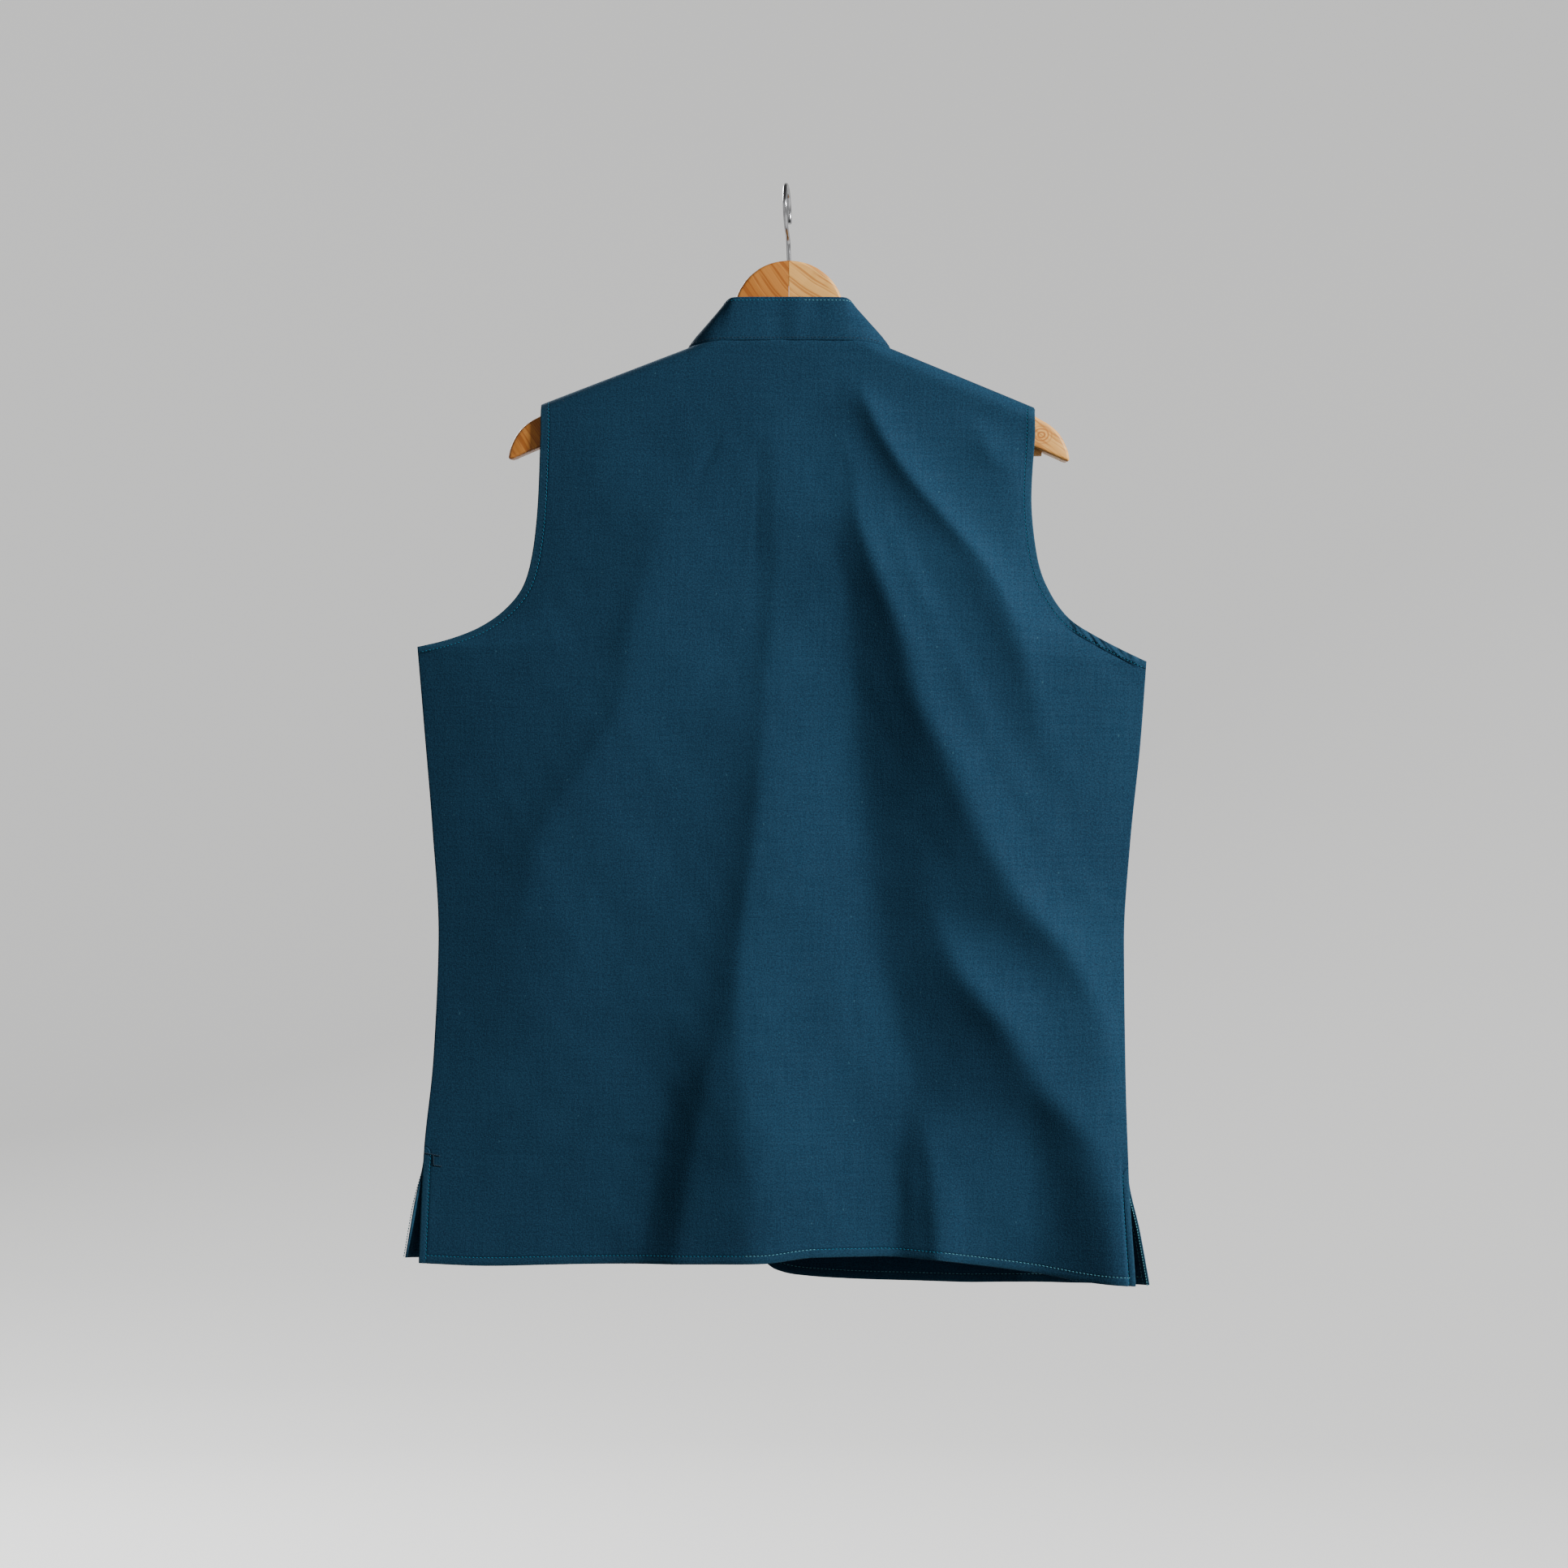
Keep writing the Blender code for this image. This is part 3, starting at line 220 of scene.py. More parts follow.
NECK = (
    Neck(0.0, 0.0, -13.0, -121.4, 0.0, -10.6, -88.0, 0.0),
    Neck(24.0, 24.0, -13.0, -121.4, 24.0, -10.6, -88.0, 0.0),
    Neck(46.0, 46.0, -12.6, -121.5, 43.5, -9.2, -88.1, 0.3),
    Neck(59.0, 59.0, -10.8, -122.0, 48.6, -4.0, -89.2, 2.2),
    Neck(70.0, 70.0, -6.0, -123.6, 51.2, 2.5, -94.0, 4.2),
    Neck(81.0, 80.0, 4.05, -127.0, 52.8, 8.5, -104.5, 4.4),
    Neck(87.0, 81.2, 11.6, -131.0, 52.8, 12.0, -111.5, 4.2),
    Neck(94.0, 81.5, 14.7, -138.0, 51.8, 15.0, -120.0, 3.2),
    Neck(112.0, 79.0, 17.5, -155.0, 47.5, 20.0, -137.5, 1.6),
    Neck(131.0, 71.0, 20.5, -172.0, 40.5, 26.0, -153.0, 0.0),
    Neck(152.0, 57.0, 24.5, -187.0, 31.0, 32.0, -165.0, 0.0),
    Neck(174.0, 39.0, 28.0, -199.0, 19.0, 36.5, -172.5, 0.0),
    Neck(194.0, 20.0, 29.4, -206.0, 10.0, 38.5, -175.5, 0.0),
    Neck(213.0, 0.75, 29.5, -208.5, 0.75, 39.0, -176.5, 0.0),
)
NECK_POINT_STEP, NECK_END_STEP = 81.0, 213.0


class Share(NamedTuple):
    """A value at one place across a front."""

    place: float
    value: float


YOKE_OUT = (
    Share(0.0, 0.0),
    Share(0.35, 2.0),
    Share(1.0, 25.0),
    Share(1.05, 20.5),
    Share(1.1, 17.0),
    Share(1.18, 14.0),
    Share(1.28, 12.0),
    Share(1.38, 10.0),
    Share(1.5, 7.5),
    Share(1.75, 3.0),
    Share(2.0, 0.0),
)
FRONT_COLUMNS = (Share(0.0, 0.0), Share(1.0, 0.46), Share(2.0, 0.93), Share(3.0, 1.0))


class Swing(NamedTuple):
    """How far the lower right side swings out behind at one height."""

    z: float
    depth: float


RIGHT_SWING = (
    Swing(-540.0, 0.0),
    Swing(-607.0, 4.0),
    Swing(-659.0, 9.0),
    Swing(-710.0, 14.0),
    Swing(-761.0, 20.0),
    Swing(-850.0, 25.5),
)
SWING_FROM, SWING_TO = 188.0, 284.0


class Fold(NamedTuple):
    """One row of a fold: its height, its crest, the widths of its left and right flanks, and its depth."""

    z: float
    x: float
    left: float
    right: float
    depth: float


BACK_FOLDS = (
    (
        Fold(-185.0, -12.0, 12.0, 60.0, 0.0),
        Fold(-223.0, -8.0, 12.0, 60.0, 1.6),
        Fold(-300.0, -8.0, 13.0, 70.0, 2.4),
        Fold(-351.0, -10.0, 15.0, 75.0, 3.2),
        Fold(-403.0, -16.0, 18.0, 80.0, 4.2),
        Fold(-454.0, -18.0, 20.0, 80.0, 6.0),
        Fold(-505.0, -22.0, 22.0, 85.0, 8.0),
        Fold(-556.0, -29.0, 22.0, 90.0, 9.5),
        Fold(-607.0, -35.0, 26.0, 95.0, 11.0),
        Fold(-659.0, -36.0, 34.0, 100.0, 13.0),
        Fold(-710.0, -31.0, 50.0, 100.0, 15.0),
        Fold(-761.0, -26.0, 62.0, 100.0, 17.0),
        Fold(-850.0, -22.0, 66.0, 100.0, 17.0),
    ),
    (
        Fold(-600.0, -46.0, 18.0, 50.0, 0.0),
        Fold(-659.0, -51.0, 18.0, 50.0, 2.0),
        Fold(-710.0, -62.0, 26.0, 70.0, 6.0),
        Fold(-761.0, -72.0, 30.0, 80.0, 8.0),
        Fold(-812.0, -80.0, 32.0, 84.0, 8.0),
        Fold(-850.0, -86.0, 34.0, 84.0, 8.0),
    ),
    (
        Fold(-650.0, -92.0, 90.0, 30.0, 0.0),
        Fold(-710.0, -97.0, 100.0, 34.0, -3.5),
        Fold(-761.0, -104.0, 120.0, 38.0, -6.5),
        Fold(-812.0, -112.0, 120.0, 40.0, -7.5),
        Fold(-850.0, -118.0, 120.0, 40.0, -7.5),
    ),
    (
        Fold(-262.0, 36.0, 36.0, 16.0, 0.0),
        Fold(-300.0, 42.0, 44.0, 20.0, -3.0),
        Fold(-351.0, 48.0, 52.0, 30.0, -6.0),
        Fold(-403.0, 51.0, 56.0, 40.0, -8.0),
        Fold(-454.0, 55.0, 60.0, 50.0, -10.0),
        Fold(-505.0, 60.0, 60.0, 55.0, -12.0),
        Fold(-556.0, 66.0, 60.0, 60.0, -12.0),
        Fold(-607.0, 72.0, 62.0, 50.0, -11.0),
        Fold(-659.0, 84.0, 66.0, 50.0, -9.0),
        Fold(-710.0, 96.0, 70.0, 50.0, -8.0),
        Fold(-761.0, 86.0, 62.0, 34.0, -8.0),
        Fold(-850.0, 84.0, 60.0, 30.0, -8.0),
    ),
    (
        Fold(-190.0, 39.0, 14.0, 14.0, 0.0),
        Fold(-223.0, 52.0, 14.0, 16.0, 1.5),
        Fold(-262.0, 57.0, 15.0, 20.0, 4.5),
        Fold(-300.0, 70.0, 22.0, 26.0, 9.0),
        Fold(-351.0, 90.0, 28.0, 32.0, 11.0),
        Fold(-403.0, 104.0, 34.0, 36.0, 12.5),
        Fold(-454.0, 129.0, 44.0, 40.0, 14.0),
        Fold(-505.0, 151.0, 50.0, 45.0, 14.5),
        Fold(-556.0, 179.0, 58.0, 40.0, 15.0),
        Fold(-607.0, 223.0, 44.0, 36.0, 12.0),
        Fold(-659.0, 250.0, 36.0, 26.0, 8.0),
        Fold(-700.0, 258.0, 32.0, 20.0, 4.0),
        Fold(-740.0, 262.0, 28.0, 16.0, 0.0),
    ),
    (
        Fold(-530.0, 103.0, 30.0, 26.0, 0.0),
        Fold(-570.0, 116.0, 30.0, 26.0, 3.0),
        Fold(-607.0, 130.0, 36.0, 34.0, 9.0),
        Fold(-659.0, 170.0, 44.0, 50.0, 17.0),
        Fold(-710.0, 202.0, 54.0, 56.0, 17.0),
        Fold(-761.0, 241.0, 60.0, 44.0, 12.0),
        Fold(-812.0, 252.0, 60.0, 36.0, 9.0),
        Fold(-850.0, 257.0, 56.0, 30.0, 7.0),
    ),
    (
        Fold(-140.0, 52.0, 12.0, 12.0, 0.8),
        Fold(-185.0, 70.0, 16.0, 18.0, 7.0),
        Fold(-223.0, 93.0, 20.0, 20.0, 10.0),
        Fold(-262.0, 125.0, 28.0, 20.0, 10.5),
        Fold(-300.0, 157.0, 34.0, 18.0, 9.5),
        Fold(-351.0, 181.0, 34.0, 22.0, 8.5),
        Fold(-403.0, 194.0, 30.0, 30.0, 5.0),
        Fold(-454.0, 205.0, 26.0, 40.0, 2.0),
        Fold(-500.0, 215.0, 26.0, 40.0, 0.0),
    ),
    (
        Fold(-155.0, 140.0, 12.0, 12.0, 0.0),
        Fold(-185.0, 152.0, 14.0, 14.0, 6.0),
        Fold(-225.0, 166.0, 14.0, 14.0, 0.0),
    ),
    (
        Fold(-165.0, 176.0, 30.0, 12.0, 0.0),
        Fold(-200.0, 181.0, 40.0, 12.0, 3.5),
        Fold(-240.0, 184.0, 44.0, 12.0, 4.5),
        Fold(-280.0, 187.0, 36.0, 12.0, 3.0),
        Fold(-315.0, 190.0, 30.0, 12.0, 0.0),
    ),
    (
        Fold(-210.0, -89.0, 26.0, 60.0, 0.0),
        Fold(-262.0, -94.0, 26.0, 60.0, 2.2),
        Fold(-300.0, -105.0, 26.0, 64.0, 3.2),
        Fold(-351.0, -121.0, 26.0, 70.0, 5.0),
        Fold(-403.0, -127.0, 26.0, 70.0, 5.0),
        Fold(-454.0, -154.0, 26.0, 70.0, 4.5),
        Fold(-505.0, -190.0, 26.0, 60.0, 4.0),
        Fold(-556.0, -204.0, 26.0, 50.0, 2.0),
        Fold(-620.0, -215.0, 26.0, 50.0, 0.0),
    ),
    (
        Fold(-715.0, 104.0, 16.0, 20.0, 0.0),
        Fold(-761.0, 112.0, 16.0, 20.0, 3.5),
        Fold(-812.0, 118.0, 18.0, 22.0, 6.0),
        Fold(-850.0, 119.0, 18.0, 22.0, 6.0),
    ),
)
FRONT_FOLDS = (
    (
        Fold(-190.0, -104.0, 16.0, 18.0, 0.0),
        Fold(-280.0, -112.0, 22.0, 30.0, 5.0),
        Fold(-450.0, -126.0, 26.0, 46.0, 9.0),
        Fold(-640.0, -140.0, 30.0, 56.0, 10.0),
        Fold(-850.0, -160.0, 32.0, 60.0, 9.0),
    ),
    (
        Fold(-200.0, 96.0, 18.0, 14.0, 0.0),
        Fold(-300.0, 110.0, 34.0, 20.0, 6.0),
        Fold(-470.0, 138.0, 52.0, 24.0, 10.0),
        Fold(-650.0, 150.0, 58.0, 26.0, 8.0),
        Fold(-850.0, 144.0, 54.0, 28.0, 11.0),
    ),
    (
        Fold(-430.0, 214.0, 26.0, 14.0, 0.0),
        Fold(-600.0, 206.0, 34.0, 18.0, 5.0),
        Fold(-850.0, 222.0, 36.0, 20.0, 6.0),
    ),
)


class Crease(NamedTuple):
    """A short fine crease between two points; a negative depth goes in."""

    x0: float
    z0: float
    x1: float
    z1: float
    width: float
    depth: float


BACK_CREASES = (
    Crease(-84.0, -133.8, -50.0, -135.2, 2.0, -0.55),
    Crease(-84.0, -141.0, -52.0, -147.0, 3.2, 0.5),
    Crease(56.0, -132.5, 76.0, -135.2, 2.0, -0.5),
    Crease(42.0, -154.0, 36.0, -174.0, 3.0, -0.4),
    Crease(-52.5, -196.0, -70.5, -232.0, 4.5, -0.7),
    Crease(-21.8, -204.0, -25.0, -318.0, 2.2, -0.45),
    Crease(-25.0, -306.0, -25.0, -378.0, 2.6, -0.35),
    Crease(97.9, -748.0, 98.5, -842.0, 7.0, 0.7),
    Crease(128.6, -770.0, 131.0, -846.0, 7.0, 0.6),
    Crease(51.0, -626.0, 52.5, -671.0, 3.5, -0.5),
    Crease(-262.0, -764.0, -184.0, -763.0, 3.0, -0.35),
    Crease(-173.0, -748.0, -76.0, -758.0, 3.5, -0.4),
    Crease(-54.0, -613.5, -24.0, -614.2, 2.4, -0.4),
    Crease(-35.0, -743.0, -18.0, -744.4, 2.4, -0.35),
    Crease(240.0, -574.5, 267.0, -576.2, 2.6, -0.4),
    Crease(246.0, -371.0, 270.0, -386.0, 7.0, -1.2),
    Crease(271.0, -394.0, 283.0, -395.5, 2.4, -0.5),
    Crease(80.0, -268.0, 121.0, -354.0, 9.0, 1.1),
    Crease(119.0, -350.0, 168.0, -446.0, 11.0, 1.5),
    Crease(163.0, -436.0, 224.0, -538.0, 12.0, 1.5),
    Crease(218.0, -528.0, 258.0, -586.0, 9.0, 1.0),
)
FRONT_CREASES = (
    Crease(-150.0, -240.0, -176.0, -330.0, 7.0, 0.9),
    Crease(128.0, -236.0, 158.0, -340.0, 8.0, 1.0),
    Crease(-60.0, -520.0, -92.0, -640.0, 9.0, 0.9),
    Crease(64.0, -560.0, 78.0, -700.0, 9.0, -0.9),
    Crease(-244.0, -400.0, -262.0, -402.0, 3.0, -0.4),
    Crease(238.0, -640.0, 262.0, -642.0, 3.0, -0.4),
    Crease(-120.0, -752.0, -60.0, -758.0, 3.5, -0.4),
    Crease(90.0, -770.0, 150.0, -764.0, 3.5, -0.4),
)


def column(table: Sequence[NamedTuple], name: str) -> Array:
    """Returns one named column of a table."""
    return np.array([getattr(row, name) for row in table])


def through(keys: Array, values: Array, at: Array) -> Array:
    """Draws a smooth curve through a table's column that never overshoots it.

    Args:
        keys: The column's rising keys.
        values: The values at the keys.
        at: Where the curve is read.

    Returns:
        The curve's values.
    """
    keys = np.asarray(keys, dtype=float)
    values = np.asarray(values, dtype=float)
    steps = np.diff(keys)
    slopes = np.diff(values) / steps
    product = slopes[:-1] * slopes[1:]
    total = slopes[:-1] + slopes[1:]
    inner = np.where(product > 0, 2 * product / np.where(total == 0, 1, total), 0)
    tangents = np.concatenate([slopes[:1], inner, slopes[-1:]])
    at = np.clip(np.asarray(at, dtype=float), keys[0], keys[-1])
    index = np.clip(np.searchsorted(keys, at, side="right") - 1, 0, len(keys) - 2)
    step = steps[index]
    t = (at - keys[index]) / step
    start = values[index] * (1 + 2 * t) * (1 - t) ** 2 + tangents[index] * step * t * (1 - t) ** 2
    end = values[index + 1] * t**2 * (3 - 2 * t) - tangents[index + 1] * step * t**2 * (1 - t)
    return start + end


def ease(low: float, high: float, value: Array) -> Array:
    """Returns 0 below low, 1 above high and a smooth step between them."""
    t = np.clip((value - low) / (high - low), 0, 1)
    return t * t * (3 - 2 * t)


def unit(vectors: Array) -> Array:
    """Returns the vectors at length 1."""
    return vectors / np.maximum(np.linalg.norm(vectors, axis=-1, keepdims=True), 1e-12)


def fold_depth(folds: Sequence[Sequence[Fold]], x: Array, z: Array) -> Array:
    """Adds up how far the folds move the cloth at each point.

    Args:
        folds: Each fold's rows.
        x: The points' places across.
        z: The points' heights.

    Returns:
        The move at each point in millimetres.
    """
    total = np.zeros_like(x)
    for rows in folds:
        keys = -column(rows, "z")
        middle = through(keys, column(rows, "x"), -z)
        left = through(keys, column(rows, "left"), -z)
        right = through(keys, column(rows, "right"), -z)
        depth = through(keys, column(rows, "depth"), -z)
        away = x - middle
        across = away / np.where(away < 0, left, right)
        total += depth * np.exp(-FOLD_FALL * (np.hypot(across, FOLD_SOFT) - FOLD_SOFT))
    return total


def crease_height(creases: Sequence[Crease], x: Array, z: Array) -> Array:
    """Adds up the height of the fine creases at each point.

    Args:
        creases: The creases.
        x: The points' places across.
        z: The points' heights.

    Returns:
        The height at each point in millimetres.
    """
    total = np.zeros_like(x)
    for crease in creases:
        run_x, run_z = crease.x1 - crease.x0, crease.z1 - crease.z0
        length = math.hypot(run_x, run_z)
        along = ((x - crease.x0) * run_x + (z - crease.z0) * run_z) / length
        aside = ((z - crease.z0) * run_x - (x - crease.x0) * run_z) / length
        share = np.clip(along / length, 0, 1)
        past = along - share * length
        taper = np.sin(np.pi * np.clip(share * 0.9 + 0.05, 0, 1))
        total += crease.depth * taper * np.exp(-(aside**2 + past**2) / crease.width**2)
    return total


def unevenness(x: Array, z: Array, seed: int) -> Array:
    """Returns the low waves that hanging cloth has all over.

    Args:
        x: The points' places across.
        z: The points' heights.
        seed: Number that fixes the waves.

    Returns:
        The height at each point in millimetres.
    """
    rng = np.random.default_rng(seed)
    total = np.zeros_like(x)
    for wave, height, count in ((150.0, 0.22, 7), (70.0, 0.08, 10), (30.0, 0.02, 14)):
        for _ in range(count):
            turn = rng.normal(0.0, 0.75)
            length = wave * rng.uniform(0.7, 1.4)
            phase = rng.uniform(0, 2 * math.pi)
            total += height * np.sin(2 * math.pi * (x * math.cos(turn) + z * math.sin(turn)) / length + phase)
    return total


def side_edge(name: str, q: Array) -> Array:
    """Returns a side edge's coordinate at each level, with a corner at the underarm."""
    below = through(column(SIDE_LEVELS, "q"), column(SIDE_LEVELS, name), q)
    above = through(column(ARMHOLE_LEVELS, "q"), column(ARMHOLE_LEVELS, name), q)
    return np.where(q < UNDERARM, below, above)


def depth_at(name: str, q: Array) -> Array:
    """Returns one column of the depths table at each level."""
    return through(column(DEPTHS, "q"), column(DEPTHS, name), q)


def sweep(x: Array) -> Array:
    """Returns how far forward the hanger's arms carry the shoulders."""
    return ARM_SWEEP * ((x - CENTRE_X) / ARM_REACH) ** 2


def shoulder_z(x: Array) -> Array:
    """Returns the height of the shoulder line."""
    share = (np.abs(x - CENTRE_X) - NECK_HALF) / (TIP_HALF - NECK_HALF)
    tip = np.where(x < CENTRE_X, LEFT_TIP_Z, RIGHT_TIP_Z)
    return SHOULDER_Z + share * (tip - SHOULDER_Z)


def neck_at(name: str, step: Array) -> Array:
    """Returns one column of the neck table at each step."""
    return through(column(NECK, "step"), column(NECK, name), step)


def arch(wall_y: Array, edge_y: Array, edge_z: Array, ridge_y: Array, w: Array) -> tuple[Array, Array]:
    """Carries columns straight up the wall and over the shoulders' arch to the top edge.

    Args:
        wall_y: Depth of the wall below the arch.
        edge_y: Depth of the top edge.
        edge_z: Height of the top edge.
        ridge_y: Depth of the arch's ridge.
        w: Share of the way, from the yoke row at 0 to the top edge at 1.

    Returns:
        Depths and heights.
    """
    half = np.abs(wall_y - ridge_y)
    facing = np.sign(wall_y - ridge_y)
    lean = np.clip((edge_y - ridge_y) * facing / half, -1, 1)
    last = np.arccos(lean)
    arc_foot = edge_z - ARCH_RISE * np.sin(last)
    straight = arc_foot - (edge_z - YOKE_DROP)
    radius = (half + ARCH_RISE) / 2
    along = w * (straight + radius * last)
    angle = np.clip((along - straight) / radius, 0, None)
    y = ridge_y + facing * half * np.cos(angle)
    z = np.where(along < straight, arc_foot - straight + along, arc_foot + ARCH_RISE * np.sin(angle))
    return y, z


def row_heights(
    q: Array,
    inward: Array,
    edge_height: Callable[[Array], Array],
    middle_height: Callable[[Array], Array],
    hem_z: Array,
    yoke_z: Array,
) -> Array:
    """Finds the heights of the rows below the arch.

    Args:
        q: Levels of the rows.
        inward: 0 at the side edge and 1 in the middle.
        edge_height: The side edge's height at a level.
        middle_height: The middle's height at a level.
        hem_z: Heights of the hem.
        yoke_z: Heights of the yoke row.

    Returns:
        The rows' heights.
    """

    def plain(level: Array) -> Array:
        return edge_height(level) + (middle_height(level) - edge_height(level)) * inward

    def climbed(height: Callable[[Array], Array]) -> Array:
        low, high = height(UNDERARM), height(YOKE)
        return (height(q) - low) / (high - low)

    below = plain(np.minimum(q, UNDERARM)) + (hem_z - plain(HEM)) * (1 - ease(HEM, HEM_FADE, q))
    climb = climbed(edge_height) + (climbed(middle_height) - climbed(edge_height)) * inward
    return np.where(q < UNDERARM, below, below + (yoke_z - below) * climb)


def back_neck_step(half: Array) -> Array:
    """Returns the neck's step at a distance from the centre, on the back's part of the neck."""
    steps = np.linspace(0, NECK_POINT_STEP, 82)
    return np.interp(half, neck_at("seam_x", steps), steps)


def back_edge(x: Array) -> tuple[Array, Array]:
    """Returns depth and height of the back's top edge, along both shoulders and the neck."""
    half = np.abs(x - CENTRE_X)
    in_neck = half < NECK_HALF - 1e-6
    steps = back_neck_step(half)
    y = np.where(in_neck, neck_at("seam_y", steps), sweep(x) + SEAM_AHEAD)
    z = np.where(in_neck, neck_at("seam_z", steps), shoulder_z(x))
    return y, z


def back_points(u: Array, q: Array) -> Array:
    """Places the back's outer face.

    Args:
        u: Places across, from -1 to 1.
        q: Levels.

    Returns:
        The points in millimetres.
    """
    body = np.minimum(q, YOKE)
    left_x, right_x = side_edge("left_x", body), side_edge("right_x", body)
    x = (left_x + right_x) / 2 + u * (right_x - left_x) / 2
    inward = (1 - u**2) ** ROW_ROUND

    def edge_height(level: Array) -> Array:
        return np.where(u < 0, side_edge("left_z", level), side_edge("right_z", level))

    def middle_height(level: Array) -> Array:
        return side_edge("centre_z", level)

    left_top, right_top = side_edge("left_x", YOKE), side_edge("right_x", YOKE)
    top_x = (left_top + right_top) / 2 + u * (right_top - left_top) / 2
    edge_y, edge_z = back_edge(top_x)
    left_hem, right_hem = side_edge("left_x", HEM), side_edge("right_x", HEM)
    hem_x = (left_hem + right_hem) / 2 + u * (right_hem - left_hem) / 2
    hem_z = through(column(BACK_HEM, "x"), column(BACK_HEM, "z"), hem_x)
    z = row_heights(body, inward, edge_height, middle_height, hem_z, edge_z - YOKE_DROP)

    edge_depth, middle_depth = depth_at("back_edge", body), depth_at("back_middle", body)
    y = edge_depth + (middle_depth - edge_depth) * (1 - np.abs(u) ** BACK_ROUND)
    wall_y = sweep(top_x) - ARCH_HALF
    y = y + (wall_y - y) * ease(BACK_WALL_FROM, YOKE, body)
    fold_hold = (1 - np.abs(u) ** EDGE_HOLD_BACK) * (1 - ease(FOLD_END_FROM, YOKE, body))
    y = y - fold_depth(BACK_FOLDS, x, z) * fold_hold - swing(x, z)
    over_y, over_z = arch(wall_y, edge_y - SEAM_GAP / 2, edge_z, sweep(top_x), np.clip(q - YOKE, 0, 1))
    in_arch = q > YOKE
    return np.stack([x, np.where(in_arch, over_y, y), np.where(in_arch, over_z, z)], axis=-1)


def swing(x: Array, z: Array) -> Array:
    """Returns how far the lower right side stands out behind, back and front together."""
    keys = -column(RIGHT_SWING, "z")
    return through(keys, column(RIGHT_SWING, "depth"), -z) * ease(SWING_FROM, SWING_TO, x)


def front_edge(side: int, place: Array) -> tuple[Array, Array, Array]:
    """Returns a front's top edge at places along it, for the side at -1 or +1."""
    step = NECK_POINT_STEP + np.clip(place - 1, 0, 1) * (NECK_END_STEP - NECK_POINT_STEP)
    lap = np.clip(place - 2, 0, 1)
    on_shoulder = place < 1
    half = np.where(on_shoulder, TIP_HALF + place * (NECK_HALF - TIP_HALF), neck_at("seam_x", step))
    half = half + lap * (-LAP_HALF - neck_at("seam_x", NECK_END_STEP))
    x = CENTRE_X + side * half
    y = np.where(on_shoulder, sweep(x) + SEAM_AHEAD, neck_at("seam_y", step))
    z = np.where(on_shoulder, shoulder_z(x), neck_at("seam_z", step))
    z = z + lap * (LAP_END_Z - neck_at("seam_z", NECK_END_STEP))
    return x, y, z


def lap_lift(side: int, x: Array) -> Array:
    """Returns how far a front stands out near the centre, where the left one laps over the right one."""
    return -side * LAP_LIFT * (1 - ease(LAP_FLAT, LAP_GONE, np.abs(x - CENTRE_X)))


def front_points(side: int, place: Array, q: Array) -> Array:
    """Places a front's outer face.

    Args:
        side: -1 for the left front and +1 for the right one.
        place: Places across.
        q: Levels.

    Returns:
        The points in millimetres.
    """
    body = np.minimum(q, YOKE)
    name = "left" if side < 0 else "right"
    keys = column(FRONT_EDGE, "q")

    def edge(axis: str, level: Array) -> Array:
        added = through(keys, column(FRONT_EDGE, f"{name}_d{axis}"), level)
        return side_edge(f"{name}_{axis}", level) + added

    centre_x = CENTRE_X - side * LAP_HALF
    top_x, edge_y, edge_z = front_edge(side, place)
    yoke_x = top_x + side * through(column(YOKE_OUT, "place"), column(YOKE_OUT, "value"), place)
    low_share = np.interp(place, column(FRONT_COLUMNS, "place"), column(FRONT_COLUMNS, "value"))
    yoke_share = (yoke_x - edge("x", YOKE)) / (centre_x - edge("x", YOKE))
    share = low_share + (yoke_share - low_share) * ease(LEAN_FROM, YOKE, body)
    x = edge("x", body) + (centre_x - edge("x", body)) * share
    x = x + (top_x - yoke_x) * np.clip(q - YOKE, 0, 1)

    def edge_height(level: Array) -> Array:
        return edge("z", level)

    def middle_height(level: Array) -> Array:
        return depth_at("front_z", level)

    inward = (1 - (1 - low_share) ** 2) ** ROW_ROUND
    hem_table = LEFT_HEM if side < 0 else RIGHT_HEM
    hem_x = edge("x", HEM) + (centre_x - edge("x", HEM)) * low_share
    hem_z = through(column(hem_table, "x"), column(hem_table, "z"), hem_x)
    z = row_heights(body, inward, edge_height, middle_height, hem_z, edge_z - YOKE_DROP)

    reach = np.clip((x - CENTRE_X) / (edge("x", body) - CENTRE_X), 0, 1)
    edge_depth, middle_depth = depth_at("front_edge", body), depth_at("front_middle", body)
    y = edge_depth + (middle_depth - edge_depth) * (1 - reach**FRONT_ROUND)
    y = y - fold_depth(FRONT_FOLDS, x, z) * (1 - reach**EDGE_HOLD_FRONT)
    wall_y = np.maximum(sweep(top_x) + ARCH_HALF, edge_y + SEAM_GAP)
    y = y + (wall_y - y) * ease(FRONT_WALL_FROM, YOKE, body)
    over_y, over_z = arch(wall_y, edge_y + SEAM_GAP / 2, edge_z, sweep(top_x), np.clip(q - YOKE, 0, 1))
    in_arch = q > YOKE
    y = np.where(in_arch, over_y, y - swing(x, z)) + lap_lift(side, x)
    return np.stack([x, y, np.where(in_arch, over_z, z)], axis=-1)


def even(
    points: Callable[[Array], Array], low: float, high: float, count: int, keep: Sequence[float]
) -> Array:
    """Spaces a grid's lines evenly over the cloth.

    Args:
        points: Gives a fan of curves, as an array of shape (places, curves, 3), at an array of places.
        low: First place.
        high: Last place.
        count: How many lines there are.
        keep: Places that have a line of their own.

    Returns:
        The places of the lines.
    """
    fine = np.linspace(low, high, 1600)
    curves = points(fine)
    lengths = np.linalg.norm(np.diff(curves, axis=0), axis=-1).mean(axis=1)
    run = np.concatenate([[0], np.cumsum(lengths)])
    lines = np.interp(np.linspace(0, run[-1], count), run, fine)
    for place in keep:
        lines[np.argmin(np.abs(lines - place))] = place
    return lines


